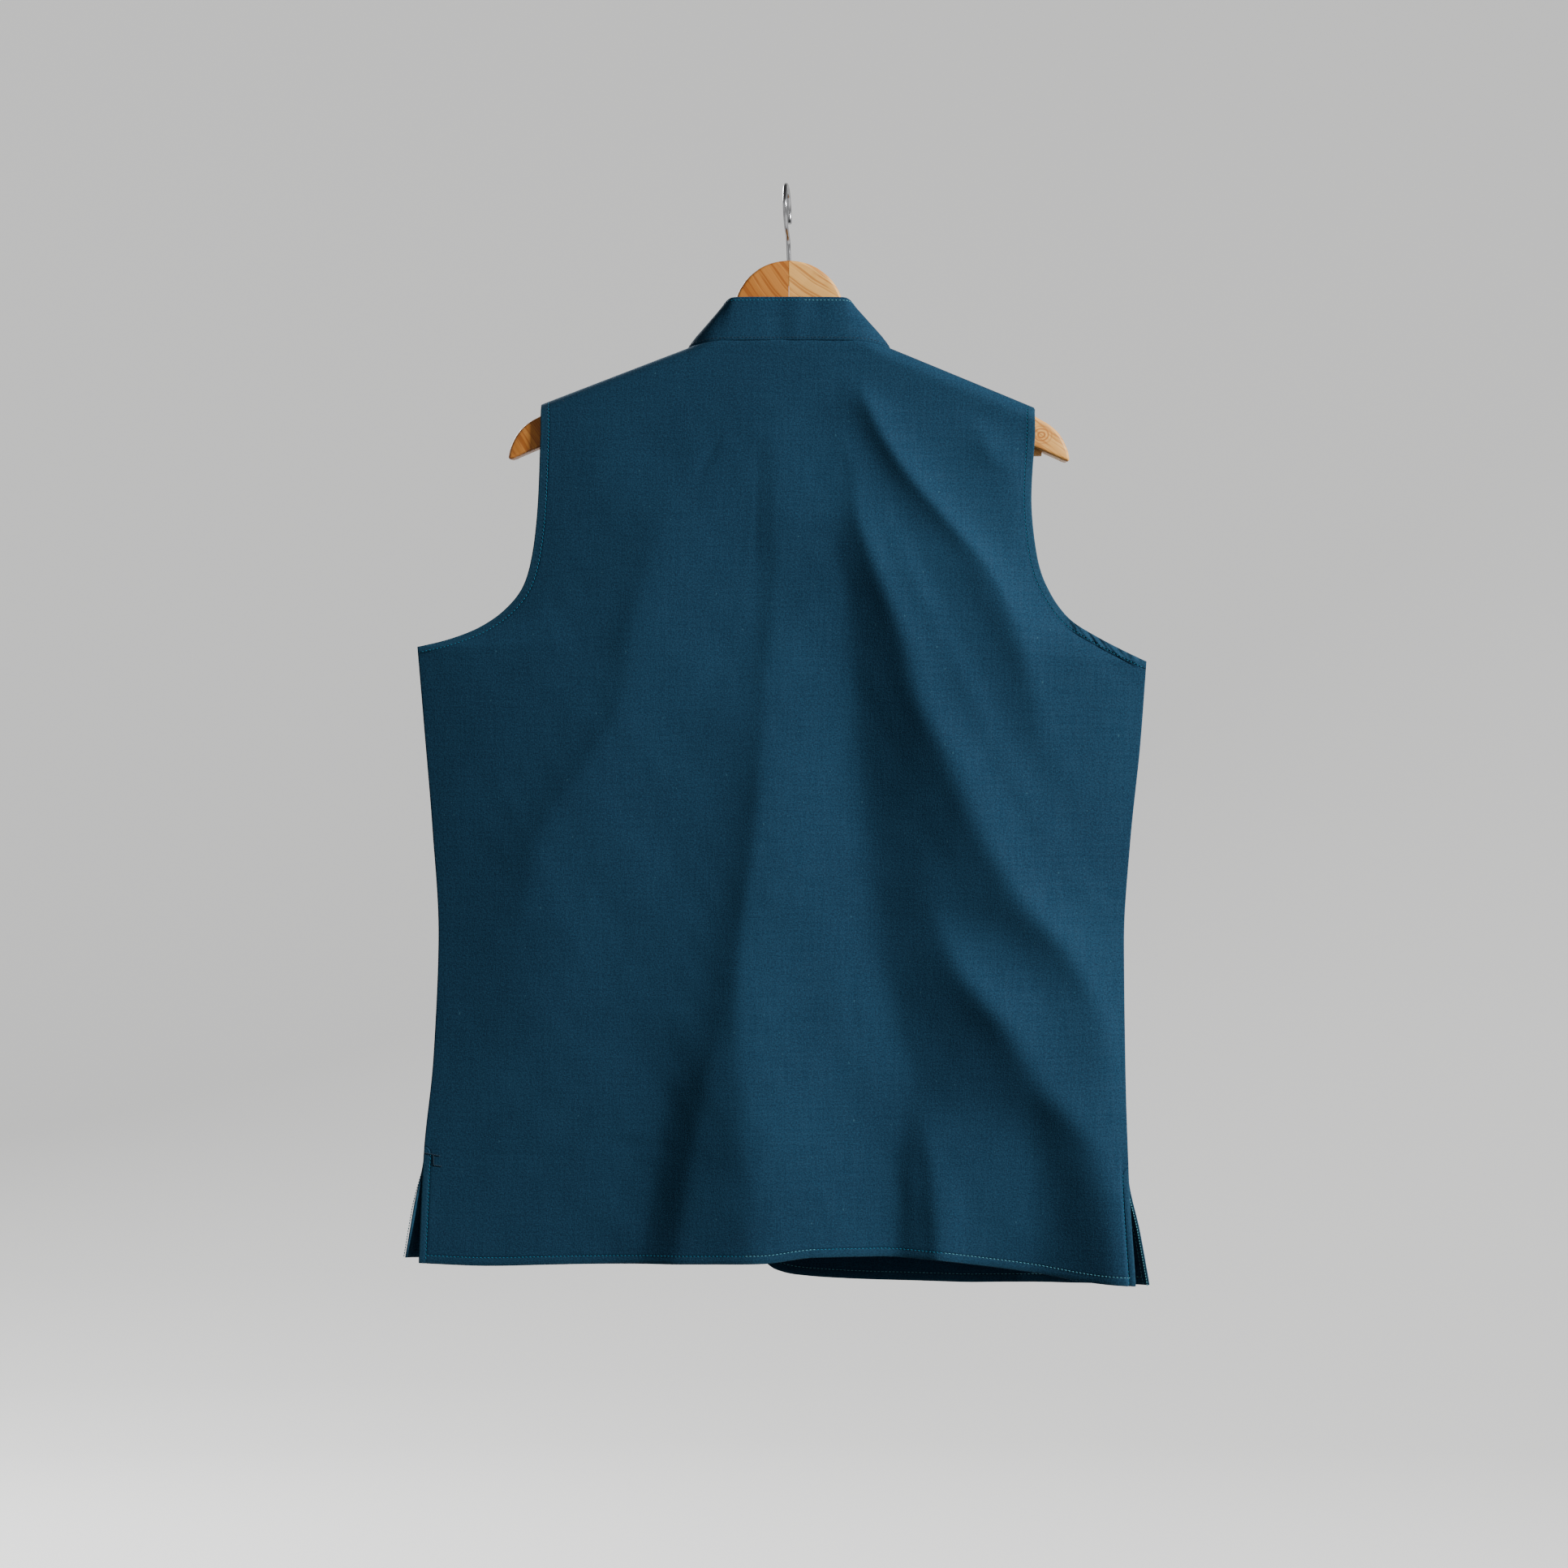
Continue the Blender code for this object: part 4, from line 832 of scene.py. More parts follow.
class Graph:
    """A material's node graph, with short calls to add nodes and join them."""

    def __init__(self, name: str) -> None:
        """Starts a material with its shader alone."""
        self.material = bpy.data.materials.new(name)
        self.material.use_nodes = True
        self.nodes = self.material.node_tree.nodes
        self.links = self.material.node_tree.links
        self.shader = self.nodes["Principled BSDF"]

    def add(
        self, kind: str, inputs: dict[str | int, object] | None = None, **settings: object
    ) -> bpy.types.Node:
        """Adds a node.

        Args:
            kind: The node's type.
            inputs: Values, or sockets to link, by the input's name or number.
            settings: Properties of the node.

        Returns:
            The node.
        """
        node = self.nodes.new(kind)
        for name, value in settings.items():
            setattr(node, name, value)
        for key, value in (inputs or {}).items():
            self.put(node, key, value)
        return node

    def put(self, node: bpy.types.Node, key: str | int, value: object) -> None:
        """Sets an input of a node to a value, or links a socket to it."""
        if isinstance(value, bpy.types.NodeSocket):
            self.links.new(value, node.inputs[key])
        else:
            node.inputs[key].default_value = value

    def math(self, operation: str, first: object, second: object = 0.0) -> bpy.types.NodeSocket:
        """Returns the result of an operation on two numbers or sockets."""
        return self.add("ShaderNodeMath", {0: first, 1: second}, operation=operation).outputs[0]

    def stretched(self, place: bpy.types.NodeSocket, scale: Sequence[float]) -> bpy.types.NodeSocket:
        """Returns a place multiplied by a scale along each axis."""
        node = self.add("ShaderNodeVectorMath", {0: place, 1: tuple(scale)}, operation="MULTIPLY")
        return node.outputs[0]

    def noise(self, place: bpy.types.NodeSocket, scale: float, detail: float = 2.0) -> bpy.types.NodeSocket:
        """Returns a noise at a place."""
        inputs = {"Vector": place, "Scale": scale, "Detail": detail, "Roughness": 0.55}
        return self.add("ShaderNodeTexNoise", inputs).outputs[0]

    def spread(
        self, value: object, low: float, high: float, to_low: float, to_high: float
    ) -> bpy.types.NodeSocket:
        """Returns a value moved from one range to another, and held inside it."""
        inputs = {"Value": value, "From Min": low, "From Max": high, "To Min": to_low, "To Max": to_high}
        return self.add("ShaderNodeMapRange", inputs).outputs[0]

    def blend(self, share: object, first: object, second: object) -> bpy.types.NodeSocket:
        """Returns a colour between two colours."""
        inputs = {0: share, 6: first, 7: second}
        return self.add("ShaderNodeMix", inputs, data_type="RGBA").outputs[2]

    def bump(
        self, height: object, distance: float, strength: float, under: object = None
    ) -> bpy.types.NodeSocket:
        """Returns the normal of a relief, laid over another relief's normal if there is one."""
        inputs = {"Height": height, "Distance": distance, "Strength": strength}
        node = self.add("ShaderNodeBump", inputs)
        if under is not None:
            self.put(node, "Normal", under)
        return node.outputs[0]


@dataclass(frozen=True)
class ClothFinish:
    """Plain woven cotton with uneven threads, slubs, pale specks, edges paler with wear, a turned edge under
    its stitches and a painted shade line beside them.
    """

    name: str = "cloth"
    dark: Colour = (0.0058, 0.0226, 0.0462)
    light: Colour = (0.0120, 0.0432, 0.0796)
    fleck: Colour = (0.03, 0.085, 0.12)
    thread_scale: float = 1300.0
    grain_scale: float = 850.0
    slub_scale: float = 420.0
    pucker_at: tuple[float, float] = (0.254, -0.352)

    def material(self) -> bpy.types.Material:
        """Builds the cloth's material."""
        graph = Graph(self.name)
        place = graph.add("ShaderNodeUVMap", uv_map="cut").outputs[0]
        warp = graph.noise(graph.stretched(place, (1.0, 0.35, 1.0)), self.thread_scale, 1.0)
        weft = graph.noise(graph.stretched(place, (0.35, 1.0, 1.0)), self.thread_scale, 1.0)
        grain = graph.noise(place, self.grain_scale, 1.0)
        warp_slub = graph.noise(graph.stretched(place, (1.0, 0.07, 1.0)), self.slub_scale)
        weft_slub = graph.noise(graph.stretched(place, (0.07, 1.0, 1.0)), self.slub_scale)
        patch = graph.noise(place, 9.0, 3.0)
        threads = graph.math("ADD", warp, weft)
        slubs = graph.math("ADD", warp_slub, weft_slub)
        tone = graph.math("ADD", graph.math("MULTIPLY", threads, 0.5), graph.math("MULTIPLY", slubs, 0.13))
        tone = graph.math("ADD", tone, graph.math("MULTIPLY", grain, 0.7))
        tone = graph.math("ADD", tone, graph.math("MULTIPLY", patch, 0.2))
        share = graph.spread(tone, 0.93, 1.23, 0.0, 1.0)
        colour = graph.blend(share, (*self.dark, 1.0), (*self.light, 1.0))
        speck_noise = graph.noise(graph.stretched(place, (1.0, 0.6, 1.0)), 480.0, 0.0)
        speck = graph.spread(speck_noise, 0.83, 0.88, 0.0, 0.7)
        colour = graph.blend(speck, colour, (*self.fleck, 1.0))
        edge = graph.add("ShaderNodeAttribute", attribute_name="edge_place").outputs["Fac"]
        # Paler near the turned edges, where the cloth shows wear.
        paler = graph.spread(edge, 0.0, 0.35, 0.16, 0.0)
        colour = graph.blend(paler, colour, (*self.fleck, 1.0))
        strip = graph.spread(edge, 0.9, 1.02, 0.05, 0.0)
        colour = graph.blend(strip, colour, (*self.fleck, 1.0))
        # Painted shade: a thin dark line just past each stitch line, where the groove beside the stitches
        # lies in shade.
        past = graph.math("ABSOLUTE", graph.math("SUBTRACT", edge, 1.16))
        colour = graph.blend(graph.spread(past, 0.03, 0.2, 0.5, 0.0), colour, (*self.dark, 1.0))
        graph.put(graph.shader, "Base Color", colour)
        graph.put(graph.shader, "Roughness", graph.spread(slubs, 0.7, 1.3, 0.92, 0.78))
        graph.put(graph.shader, "Specular IOR Level", 0.08)
        graph.put(graph.shader, "Sheen Weight", 0.03)
        graph.put(graph.shader, "Sheen Roughness", 0.45)
        graph.put(graph.shader, "Sheen Tint", (0.35, 0.75, 1.0, 1.0))
        ledge = graph.spread(edge, 0.86, 1.06, 1.0, 0.0)
        groove = graph.spread(graph.math("ABSOLUTE", graph.math("SUBTRACT", edge, 1.0)), 0.0, 0.14, -0.9, 0.0)
        turned = graph.bump(graph.math("ADD", ledge, groove), 0.0004, 1.0)
        slub_bump = graph.bump(slubs, 0.0003, 0.22, self.puckers(graph, place, edge, turned))
        graph.put(graph.shader, "Normal", graph.bump(threads, 0.00022, 0.6, slub_bump))
        return graph.material

    def puckers(self, graph: Graph, place: object, edge: object, under: object) -> bpy.types.NodeSocket:
        """Draws up the cloth in slanting puckers between the right underarm's edge and its stitches.

        Args:
            graph: The material's graph.
            place: The place on the flat cloth.
            edge: The distance from the edge, where 1 is the stitch line.
            under: The bump that these lie on.

        Returns:
            The bump with the puckers.
        """
        slanted = graph.add("ShaderNodeMapping", {"Vector": place, "Rotation": (0.0, 0.0, -0.61)}).outputs[0]
        waves = graph.noise(graph.stretched(slanted, (260.0, 45.0, 1.0)), 1.0, 0.0)
        middle = (*self.pucker_at, 0.0)
        away = graph.add("ShaderNodeVectorMath", {0: place, 1: middle}, operation="DISTANCE").outputs[1]
        near = graph.spread(away, 0.026, 0.036, 1.0, 0.0)
        strip = graph.spread(edge, 0.9, 1.3, 1.0, 0.0)
        height = graph.math("MULTIPLY", waves, graph.math("MULTIPLY", near, strip))
        return graph.bump(height, 0.006, 1.0, under)


@dataclass(frozen=True)
class ThreadFinish:
    """Twisted sewing thread."""

    name: str
    colour: Colour

    def material(self) -> bpy.types.Material:
        """Builds the thread's material."""
        graph = Graph(self.name)
        place = graph.add("ShaderNodeTexCoord").outputs["Object"]
        twist = graph.noise(place, 2600.0, 1.0)
        dark = tuple(0.6 * value for value in self.colour)
        graph.put(graph.shader, "Base Color", graph.blend(twist, (*dark, 1.0), (*self.colour, 1.0)))
        graph.put(graph.shader, "Roughness", 0.6)
        graph.put(graph.shader, "Specular IOR Level", 0.2)
        graph.put(graph.shader, "Sheen Weight", 0.03)
        graph.put(graph.shader, "Normal", graph.bump(twist, 0.0001, 0.5))
        return graph.material


class Knot(Enum):
    """Whether a wooden piece shows a knot at its end."""

    NONE = 0
    END = 1


@dataclass(frozen=True)
class WoodFinish:
    """Lacquered wood whose grain runs along the arm."""

    name: str
    dark: Colour
    light: Colour
    ring: Colour
    slope: float
    knot: Knot = Knot.NONE
    knot_at: tuple[float, float, float] = (0.201, 0.0, -0.195)

    def material(self) -> bpy.types.Material:
        """Builds the wood's material."""
        graph = Graph(self.name)
        place = graph.add("ShaderNodeTexCoord").outputs["Object"]
        tilt = {"Vector": place, "Rotation": (0.0, self.slope, 0.0)}
        turned = graph.add("ShaderNodeMapping", tilt).outputs[0]
        bend = graph.noise(turned, 14.0, 2.0)
        bent = graph.add("ShaderNodeVectorMath", {0: turned, 1: (0.0, 0.0, 0.0)}, operation="ADD")
        lift = graph.add("ShaderNodeCombineXYZ", {2: graph.math("MULTIPLY", bend, 0.012)}).outputs[0]
        graph.put(bent, 1, lift)
        bands = graph.noise(graph.stretched(bent.outputs[0], (5.0, 60.0, 150.0)), 1.0, 3.0)
        lines = graph.noise(graph.stretched(bent.outputs[0], (18.0, 220.0, 560.0)), 1.0, 2.0)
        share = graph.spread(bands, 0.32, 0.68, 0.0, 1.0)
        colour = graph.blend(share, (*self.dark, 1.0), (*self.light, 1.0))
        pores = graph.spread(lines, 0.38, 0.49, 0.7, 0.0)
        colour = graph.blend(pores, colour, (*self.ring, 1.0))
        if self.knot is Knot.END:
            flat = graph.stretched(place, (1.0, 0.0, 1.25))
            centre = (self.knot_at[0], 0.0, self.knot_at[2] * 1.25)
            away = graph.add("ShaderNodeVectorMath", {0: flat, 1: centre}, operation="DISTANCE").outputs[1]
            wobble = graph.math("MULTIPLY", graph.noise(place, 120.0, 1.0), 0.0022)
            reach = graph.math("ADD", away, wobble)
            rings = graph.math("SINE", graph.math("MULTIPLY", reach, 2100.0))
            ring_share = graph.spread(rings, -0.3, 0.7, 0.0, 0.95)
            near = graph.spread(reach, 0.006, 0.0125, 1.0, 0.0)
            heart = graph.spread(reach, 0.0006, 0.0016, 0.9, 0.0)
            colour = graph.blend(graph.math("MULTIPLY", ring_share, near), colour, (*self.ring, 1.0))
            colour = graph.blend(heart, colour, (*[0.45 * value for value in self.ring], 1.0))
        graph.put(graph.shader, "Base Color", colour)
        graph.put(graph.shader, "Roughness", graph.spread(lines, 0.3, 0.7, 0.42, 0.55))
        graph.put(graph.shader, "Specular IOR Level", 0.25)
        graph.put(graph.shader, "Coat Weight", 0.05)
        graph.put(graph.shader, "Coat Roughness", 0.3)
        graph.put(graph.shader, "Normal", graph.bump(lines, 0.0002, 0.25))
        return graph.material


@dataclass(frozen=True)
class WireFinish:
    """Polished plated wire with faint drawing marks."""

    name: str = "plated_wire"

    def material(self) -> bpy.types.Material:
        """Builds the wire's material."""
        graph = Graph(self.name)
        place = graph.add("ShaderNodeTexCoord").outputs["Object"]
        marks = graph.noise(graph.stretched(place, (900.0, 900.0, 60.0)), 1.0, 2.0)
        metal = graph.blend(marks, (0.14, 0.14, 0.145, 1.0), (0.30, 0.30, 0.31, 1.0))
        graph.put(graph.shader, "Base Color", metal)
        graph.put(graph.shader, "Metallic", 1.0)
        graph.put(graph.shader, "Roughness", graph.spread(marks, 0.3, 0.7, 0.14, 0.26))
        graph.put(graph.shader, "Normal", graph.bump(marks, 0.00005, 0.3))
        return graph.material


@dataclass(frozen=True)
class ResinFinish:
    """Dull dark resin with a faint cloud in it."""

    name: str = "button_resin"
    dark: Colour = (0.004, 0.022, 0.034)
    light: Colour = (0.012, 0.060, 0.085)

    def material(self) -> bpy.types.Material:
        """Builds the resin's material."""
        graph = Graph(self.name)
        place = graph.add("ShaderNodeTexCoord").outputs["Object"]
        cloud = graph.noise(place, 160.0, 3.0)
        graph.put(graph.shader, "Base Color", graph.blend(cloud, (*self.dark, 1.0), (*self.light, 1.0)))
        graph.put(graph.shader, "Roughness", graph.spread(cloud, 0.3, 0.7, 0.32, 0.48))
        graph.put(graph.shader, "Normal", graph.bump(graph.noise(place, 900.0, 1.0), 0.00005, 0.3))
        return graph.material


CLOTH = ClothFinish()
THREAD = ThreadFinish("sewing_thread", (0.016, 0.15, 0.25))
# A paler thread: a painted highlight on the collar's top stitches, and partly one along the vent's overcast
# row.
PALE_THREAD = ThreadFinish("pale_thread", (0.10, 0.34, 0.42))
# The sewing thread darkened as painted shade, for stitches that lie in shade.
SHADED_THREAD = ThreadFinish("shaded_thread", (0.004, 0.022, 0.04))
DARK_WOOD = WoodFinish("orange_wood", (0.37, 0.125, 0.018), (0.52, 0.205, 0.040), (0.26, 0.07, 0.01), -0.9)
PALE_WOOD = WoodFinish(
    "pale_wood", (0.60, 0.28, 0.062), (0.76, 0.41, 0.115), (0.38, 0.13, 0.025), -0.6, Knot.END
)
WIRE = WireFinish()
RESIN = ResinFinish()


def smooth_mesh(name: str, points: Array, faces: list[tuple[int, ...]], angle: float) -> bpy.types.Mesh:
    """Makes a closed mesh in metres with its faces turned out.

    Args:
        name: The mesh's name.
        points: Its points in millimetres.
        faces: Its faces.
        angle: Edges sharper than this, in degrees, stay sharp.

    Returns:
        The mesh.
    """
    mesh = bpy.data.meshes.new(name)
    mesh.from_pydata((np.asarray(points) * MM).tolist(), [], faces)
    work = bmesh.new()
    work.from_mesh(mesh)
    bmesh.ops.recalc_face_normals(work, faces=work.faces)
    work.to_mesh(mesh)
    work.free()
    mesh.shade_smooth()
    mesh.set_sharp_from_angle(angle=math.radians(angle))
    return mesh


def place_object(name: str, mesh: bpy.types.Mesh, material: bpy.types.Material) -> bpy.types.Object:
    """Puts a mesh in the scene with a material, riding on the hanger's body."""
    obj = bpy.data.objects.new(name, mesh)
    bpy.context.collection.objects.link(obj)
    mesh.materials.append(material)
    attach(obj, "root")
    return obj


@dataclass
class Cloth:
    """One cut piece of cloth, as a closed shell behind a grid of outer points."""

    name: str
    wall: float
    outward: int
    rim: float = 0.55
    grid: Array | None = None
    normals: Array | None = None
    tree: BVHTree | None = None

    def face(self, outer: Array) -> Array:
        """Returns the outward normals of a grid of points."""
        across = np.gradient(outer, axis=1, edge_order=2)
        along = np.gradient(outer, axis=0, edge_order=2)
        return self.outward * unit(np.cross(across, along))

    def settle(self, outer: Array, relief: Array) -> None:
        """Lays a relief on the outer points and keeps them for the shell and the stitches.

        Args:
            outer: The grid of outer points.
            relief: How far each point stands out.
        """
        self.grid = outer + self.face(outer) * relief[..., None]
        self.normals = self.face(self.grid)
        rows, columns = self.grid.shape[:2]
        corner = (np.arange(rows - 1)[:, None] * columns + np.arange(columns - 1)).ravel()
        quads = np.stack([corner, corner + 1, corner + columns + 1, corner + columns], axis=-1)
        self.tree = BVHTree.FromPolygons(self.grid.reshape(-1, 3).tolist(), quads.tolist())

    def shell(self, edge_place: Array, cut: Array) -> bpy.types.Mesh:
        """Closes the outer points with an inner face and a rounded rim.

        Args:
            edge_place: Each outer point's distance from the nearest turned edge, where 1 is its stitch line.
            cut: Each outer point's place on the flat cloth, in metres.

        Returns:
            The mesh.
        """
        outer, normals = self.grid, self.normals
        inner = outer - self.wall * normals
        rows, columns = outer.shape[:2]
        index = np.arange(rows * columns).reshape(rows, columns)
        loop = np.concatenate([index[0, :], index[1:, -1], index[-1, -2::-1], index[-2:0:-1, 0]])
        out_across, out_along = np.zeros_like(outer), np.zeros_like(outer)
        out_across[:, 0] = unit(outer[:, 0] - outer[:, 1])
        out_across[:, -1] = unit(outer[:, -1] - outer[:, -2])
        out_along[0] = unit(outer[0] - outer[1])
        out_along[-1] = unit(outer[-1] - outer[-2])
        out = unit(out_across + out_along).reshape(-1, 3)[loop]
        flat_outer, flat_inner = outer.reshape(-1, 3), inner.reshape(-1, 3)
        rings = []
        for share in (0.16, 0.5, 0.84):
            bulge = self.rim * math.sqrt(4 * share * (1 - share))
            rings.append(flat_outer[loop] + (flat_inner[loop] - flat_outer[loop]) * share + bulge * out)
        points = np.concatenate([flat_outer, flat_inner, *rings])
        corner = index[:-1, :-1].ravel()
        quads = np.stack([corner, corner + 1, corner + columns + 1, corner + columns], axis=-1)
        behind = rows * columns
        bands = [loop, *(2 * behind + k * len(loop) + np.arange(len(loop)) for k in range(3)), loop + behind]
        faces = [quads, (quads + behind)[:, ::-1]]
        for first, second in zip(bands, bands[1:]):
            faces.append(np.stack([first, np.roll(first, -1), np.roll(second, -1), second], axis=-1)[:, ::-1])
        every = np.concatenate(faces)
        mesh = smooth_mesh(self.name, points, every.tolist(), 55.0)
        source = np.concatenate([np.arange(behind), np.arange(behind), loop, loop, loop])
        places = mesh.attributes.new("edge_place", "FLOAT", "POINT")
        places.data.foreach_set("value", edge_place.ravel()[source].astype(np.float32))
        corners = np.empty(len(mesh.loops), dtype=np.int32)
        mesh.loops.foreach_get("vertex_index", corners)
        layer = mesh.uv_layers.new(name="cut")
        layer.data.foreach_set("uv", cut.reshape(-1, 2)[source][corners].astype(np.float32).ravel())
        return mesh

    def rise(self) -> Array:
        """Returns the length of cloth from the hem up to each outer point."""
        steps = np.linalg.norm(np.diff(self.grid[..., 1:], axis=0), axis=-1)
        return np.concatenate([np.zeros_like(steps[:1]), np.cumsum(steps, axis=0)])

    def on_line(self, x: Sequence[float], z: Sequence[float]) -> tuple[Array, Array]:
        """Finds a straight line's points on the cloth.

        Args:
            x: The line's two places across.
            z: The line's two heights.

        Returns:
            The points and the cloth's normals there.
        """
        middle = self.grid.reshape(-1, 3)
        points, normals = [], []
        for share in np.linspace(0, 1, 24):
            at_x, at_z = x[0] + (x[1] - x[0]) * share, z[0] + (z[1] - z[0]) * share
            near = np.argmin((middle[:, 0] - at_x) ** 2 + (middle[:, 2] - at_z) ** 2)
            place, normal, _, _ = self.tree.find_nearest(Vector((at_x, middle[near, 1], at_z)))
            points.append(np.array(place))
            normals.append(np.array(normal))
        return np.array(points), np.array(normals)

    def near_edge(self, edges: Sequence[tuple[Array, float]]) -> Array:
        """Measures how near each outer point lies to the turned edges.

        Args:
            edges: Each edge's points and the distance of its stitch line.

        Returns:
            The distances, where 1 is a stitch line, held at 4.
        """
        nearest = np.full(self.grid.shape[0] * self.grid.shape[1], 4.0)
        points = self.grid.reshape(-1, 3)
        for edge, stitch in edges:
            fine = resample(edge, 1.0)
            tree = KDTree(len(fine))
            for number, point in enumerate(fine):
                tree.insert(point, number)
            tree.balance()
            low, high = fine.min(axis=0) - 4 * stitch, fine.max(axis=0) + 4 * stitch
            close = np.nonzero(np.all((points > low) & (points < high), axis=1))[0]
            for number in close:
                nearest[number] = min(nearest[number], tree.find(points[number])[2] / stitch)
        return nearest.reshape(self.grid.shape[:2])

    def seam_line(
        self, edge: Array, inward: float, start: float = 0.0, end: float = 0.0
    ) -> tuple[Array, Array]:
        """Finds a line on the cloth at an even distance from an edge.

        Args:
            edge: The edge's points, with the cloth on its left as seen from outside.
            inward: The line's distance from the edge.
            start: Length left off at the start.
            end: Length left off at the end.

        Returns:
            The line's points and the cloth's normals there.
        """
        fine = resample(edge, 1.0)
        if start + end > 0:
            fine = fine[int(start) : len(fine) - int(end)]
        forward = unit(np.gradient(fine, axis=0))
        line, normals = [], []
        for point, ahead in zip(fine, forward):
            _, normal, _, _ = self.tree.find_nearest(Vector(point))
            aside = np.cross(np.array(normal), ahead)
            spot = Vector(point + inward * unit(aside[None])[0])
            place, normal, _, _ = self.tree.find_nearest(spot)
            line.append(np.array(place))
            normals.append(np.array(normal))
        return np.array(line), np.array(normals)


def resample(line: Array, step: float) -> Array:
    """Returns a line's points at even steps along it."""
    run = np.concatenate([[0], np.cumsum(np.linalg.norm(np.diff(line, axis=0), axis=1))])
    count = max(2, int(round(run[-1] / step)) + 1)
    at = np.linspace(0, run[-1], count)
    return np.stack([np.interp(at, run, line[:, axis]) for axis in range(3)], axis=-1)


@dataclass
class StitchRow:
    """A row of machine stitches laid on the cloth, each a short rounded piece of thread."""

    name: str
    pitch: float = 3.0
    length: float = 2.1
    radius: float = 0.24
    sides: int = 6
    rings: tuple[tuple[float, float, float], ...] = (
        (-1.0, 0.25, -0.8),
        (-0.7, 0.9, 0.25),
        (0.0, 1.0, 0.6),
        (0.7, 0.9, 0.25),
        (1.0, 0.25, -0.8),
    )

    def build(self, line: Array, normals: Array, finish: bpy.types.Material) -> bpy.types.Object:
        """Lays the stitches.

        Args:
            line: Points of the stitch line.
            normals: The cloth's outward normals there.
            finish: The thread's material.

        Returns:
            The row as one object.
        """
        run = np.concatenate([[0], np.cumsum(np.linalg.norm(np.diff(line, axis=0), axis=1))])
        middles = np.arange(self.pitch / 2, run[-1], self.pitch)
        points, faces = [], []
        ahead_all = unit(np.gradient(line, axis=0))
        for middle in middles:
            centre = np.array([np.interp(middle, run, line[:, axis]) for axis in range(3)])
            number = min(int(np.searchsorted(run, middle)), len(line) - 1)
            ahead, up = ahead_all[number], normals[number]
            side = unit(np.cross(up, ahead)[None])[0]
            up = np.cross(ahead, side)
            base = len(points)
            for share, width, lift in self.rings:
                for number_round in range(self.sides):
                    angle = 2 * math.pi * number_round / self.sides
                    offset = side * math.cos(angle) + up * math.sin(angle)
                    points.append(
                        centre
                        + ahead * share * self.length / 2
                        + up * lift * self.radius
                        + offset * width * self.radius
                    )
            for ring in range(4):
                for number_round in range(self.sides):
                    following = (number_round + 1) % self.sides
                    a = base + ring * self.sides + number_round
                    b = base + ring * self.sides + following
                    faces.append((a, b, b + self.sides, a + self.sides))
            faces.append(tuple(base + index for index in reversed(range(self.sides))))
            faces.append(tuple(base + 4 * self.sides + index for index in range(self.sides)))
        mesh = smooth_mesh(self.name, np.array(points), faces, 80.0)
        return place_object(self.name, mesh, finish)


class Span(NamedTuple):
    """A stretch of the hem's stitches, and whether it takes the paler thread."""

    name: str
    x0: float
    x1: float
    pale: bool


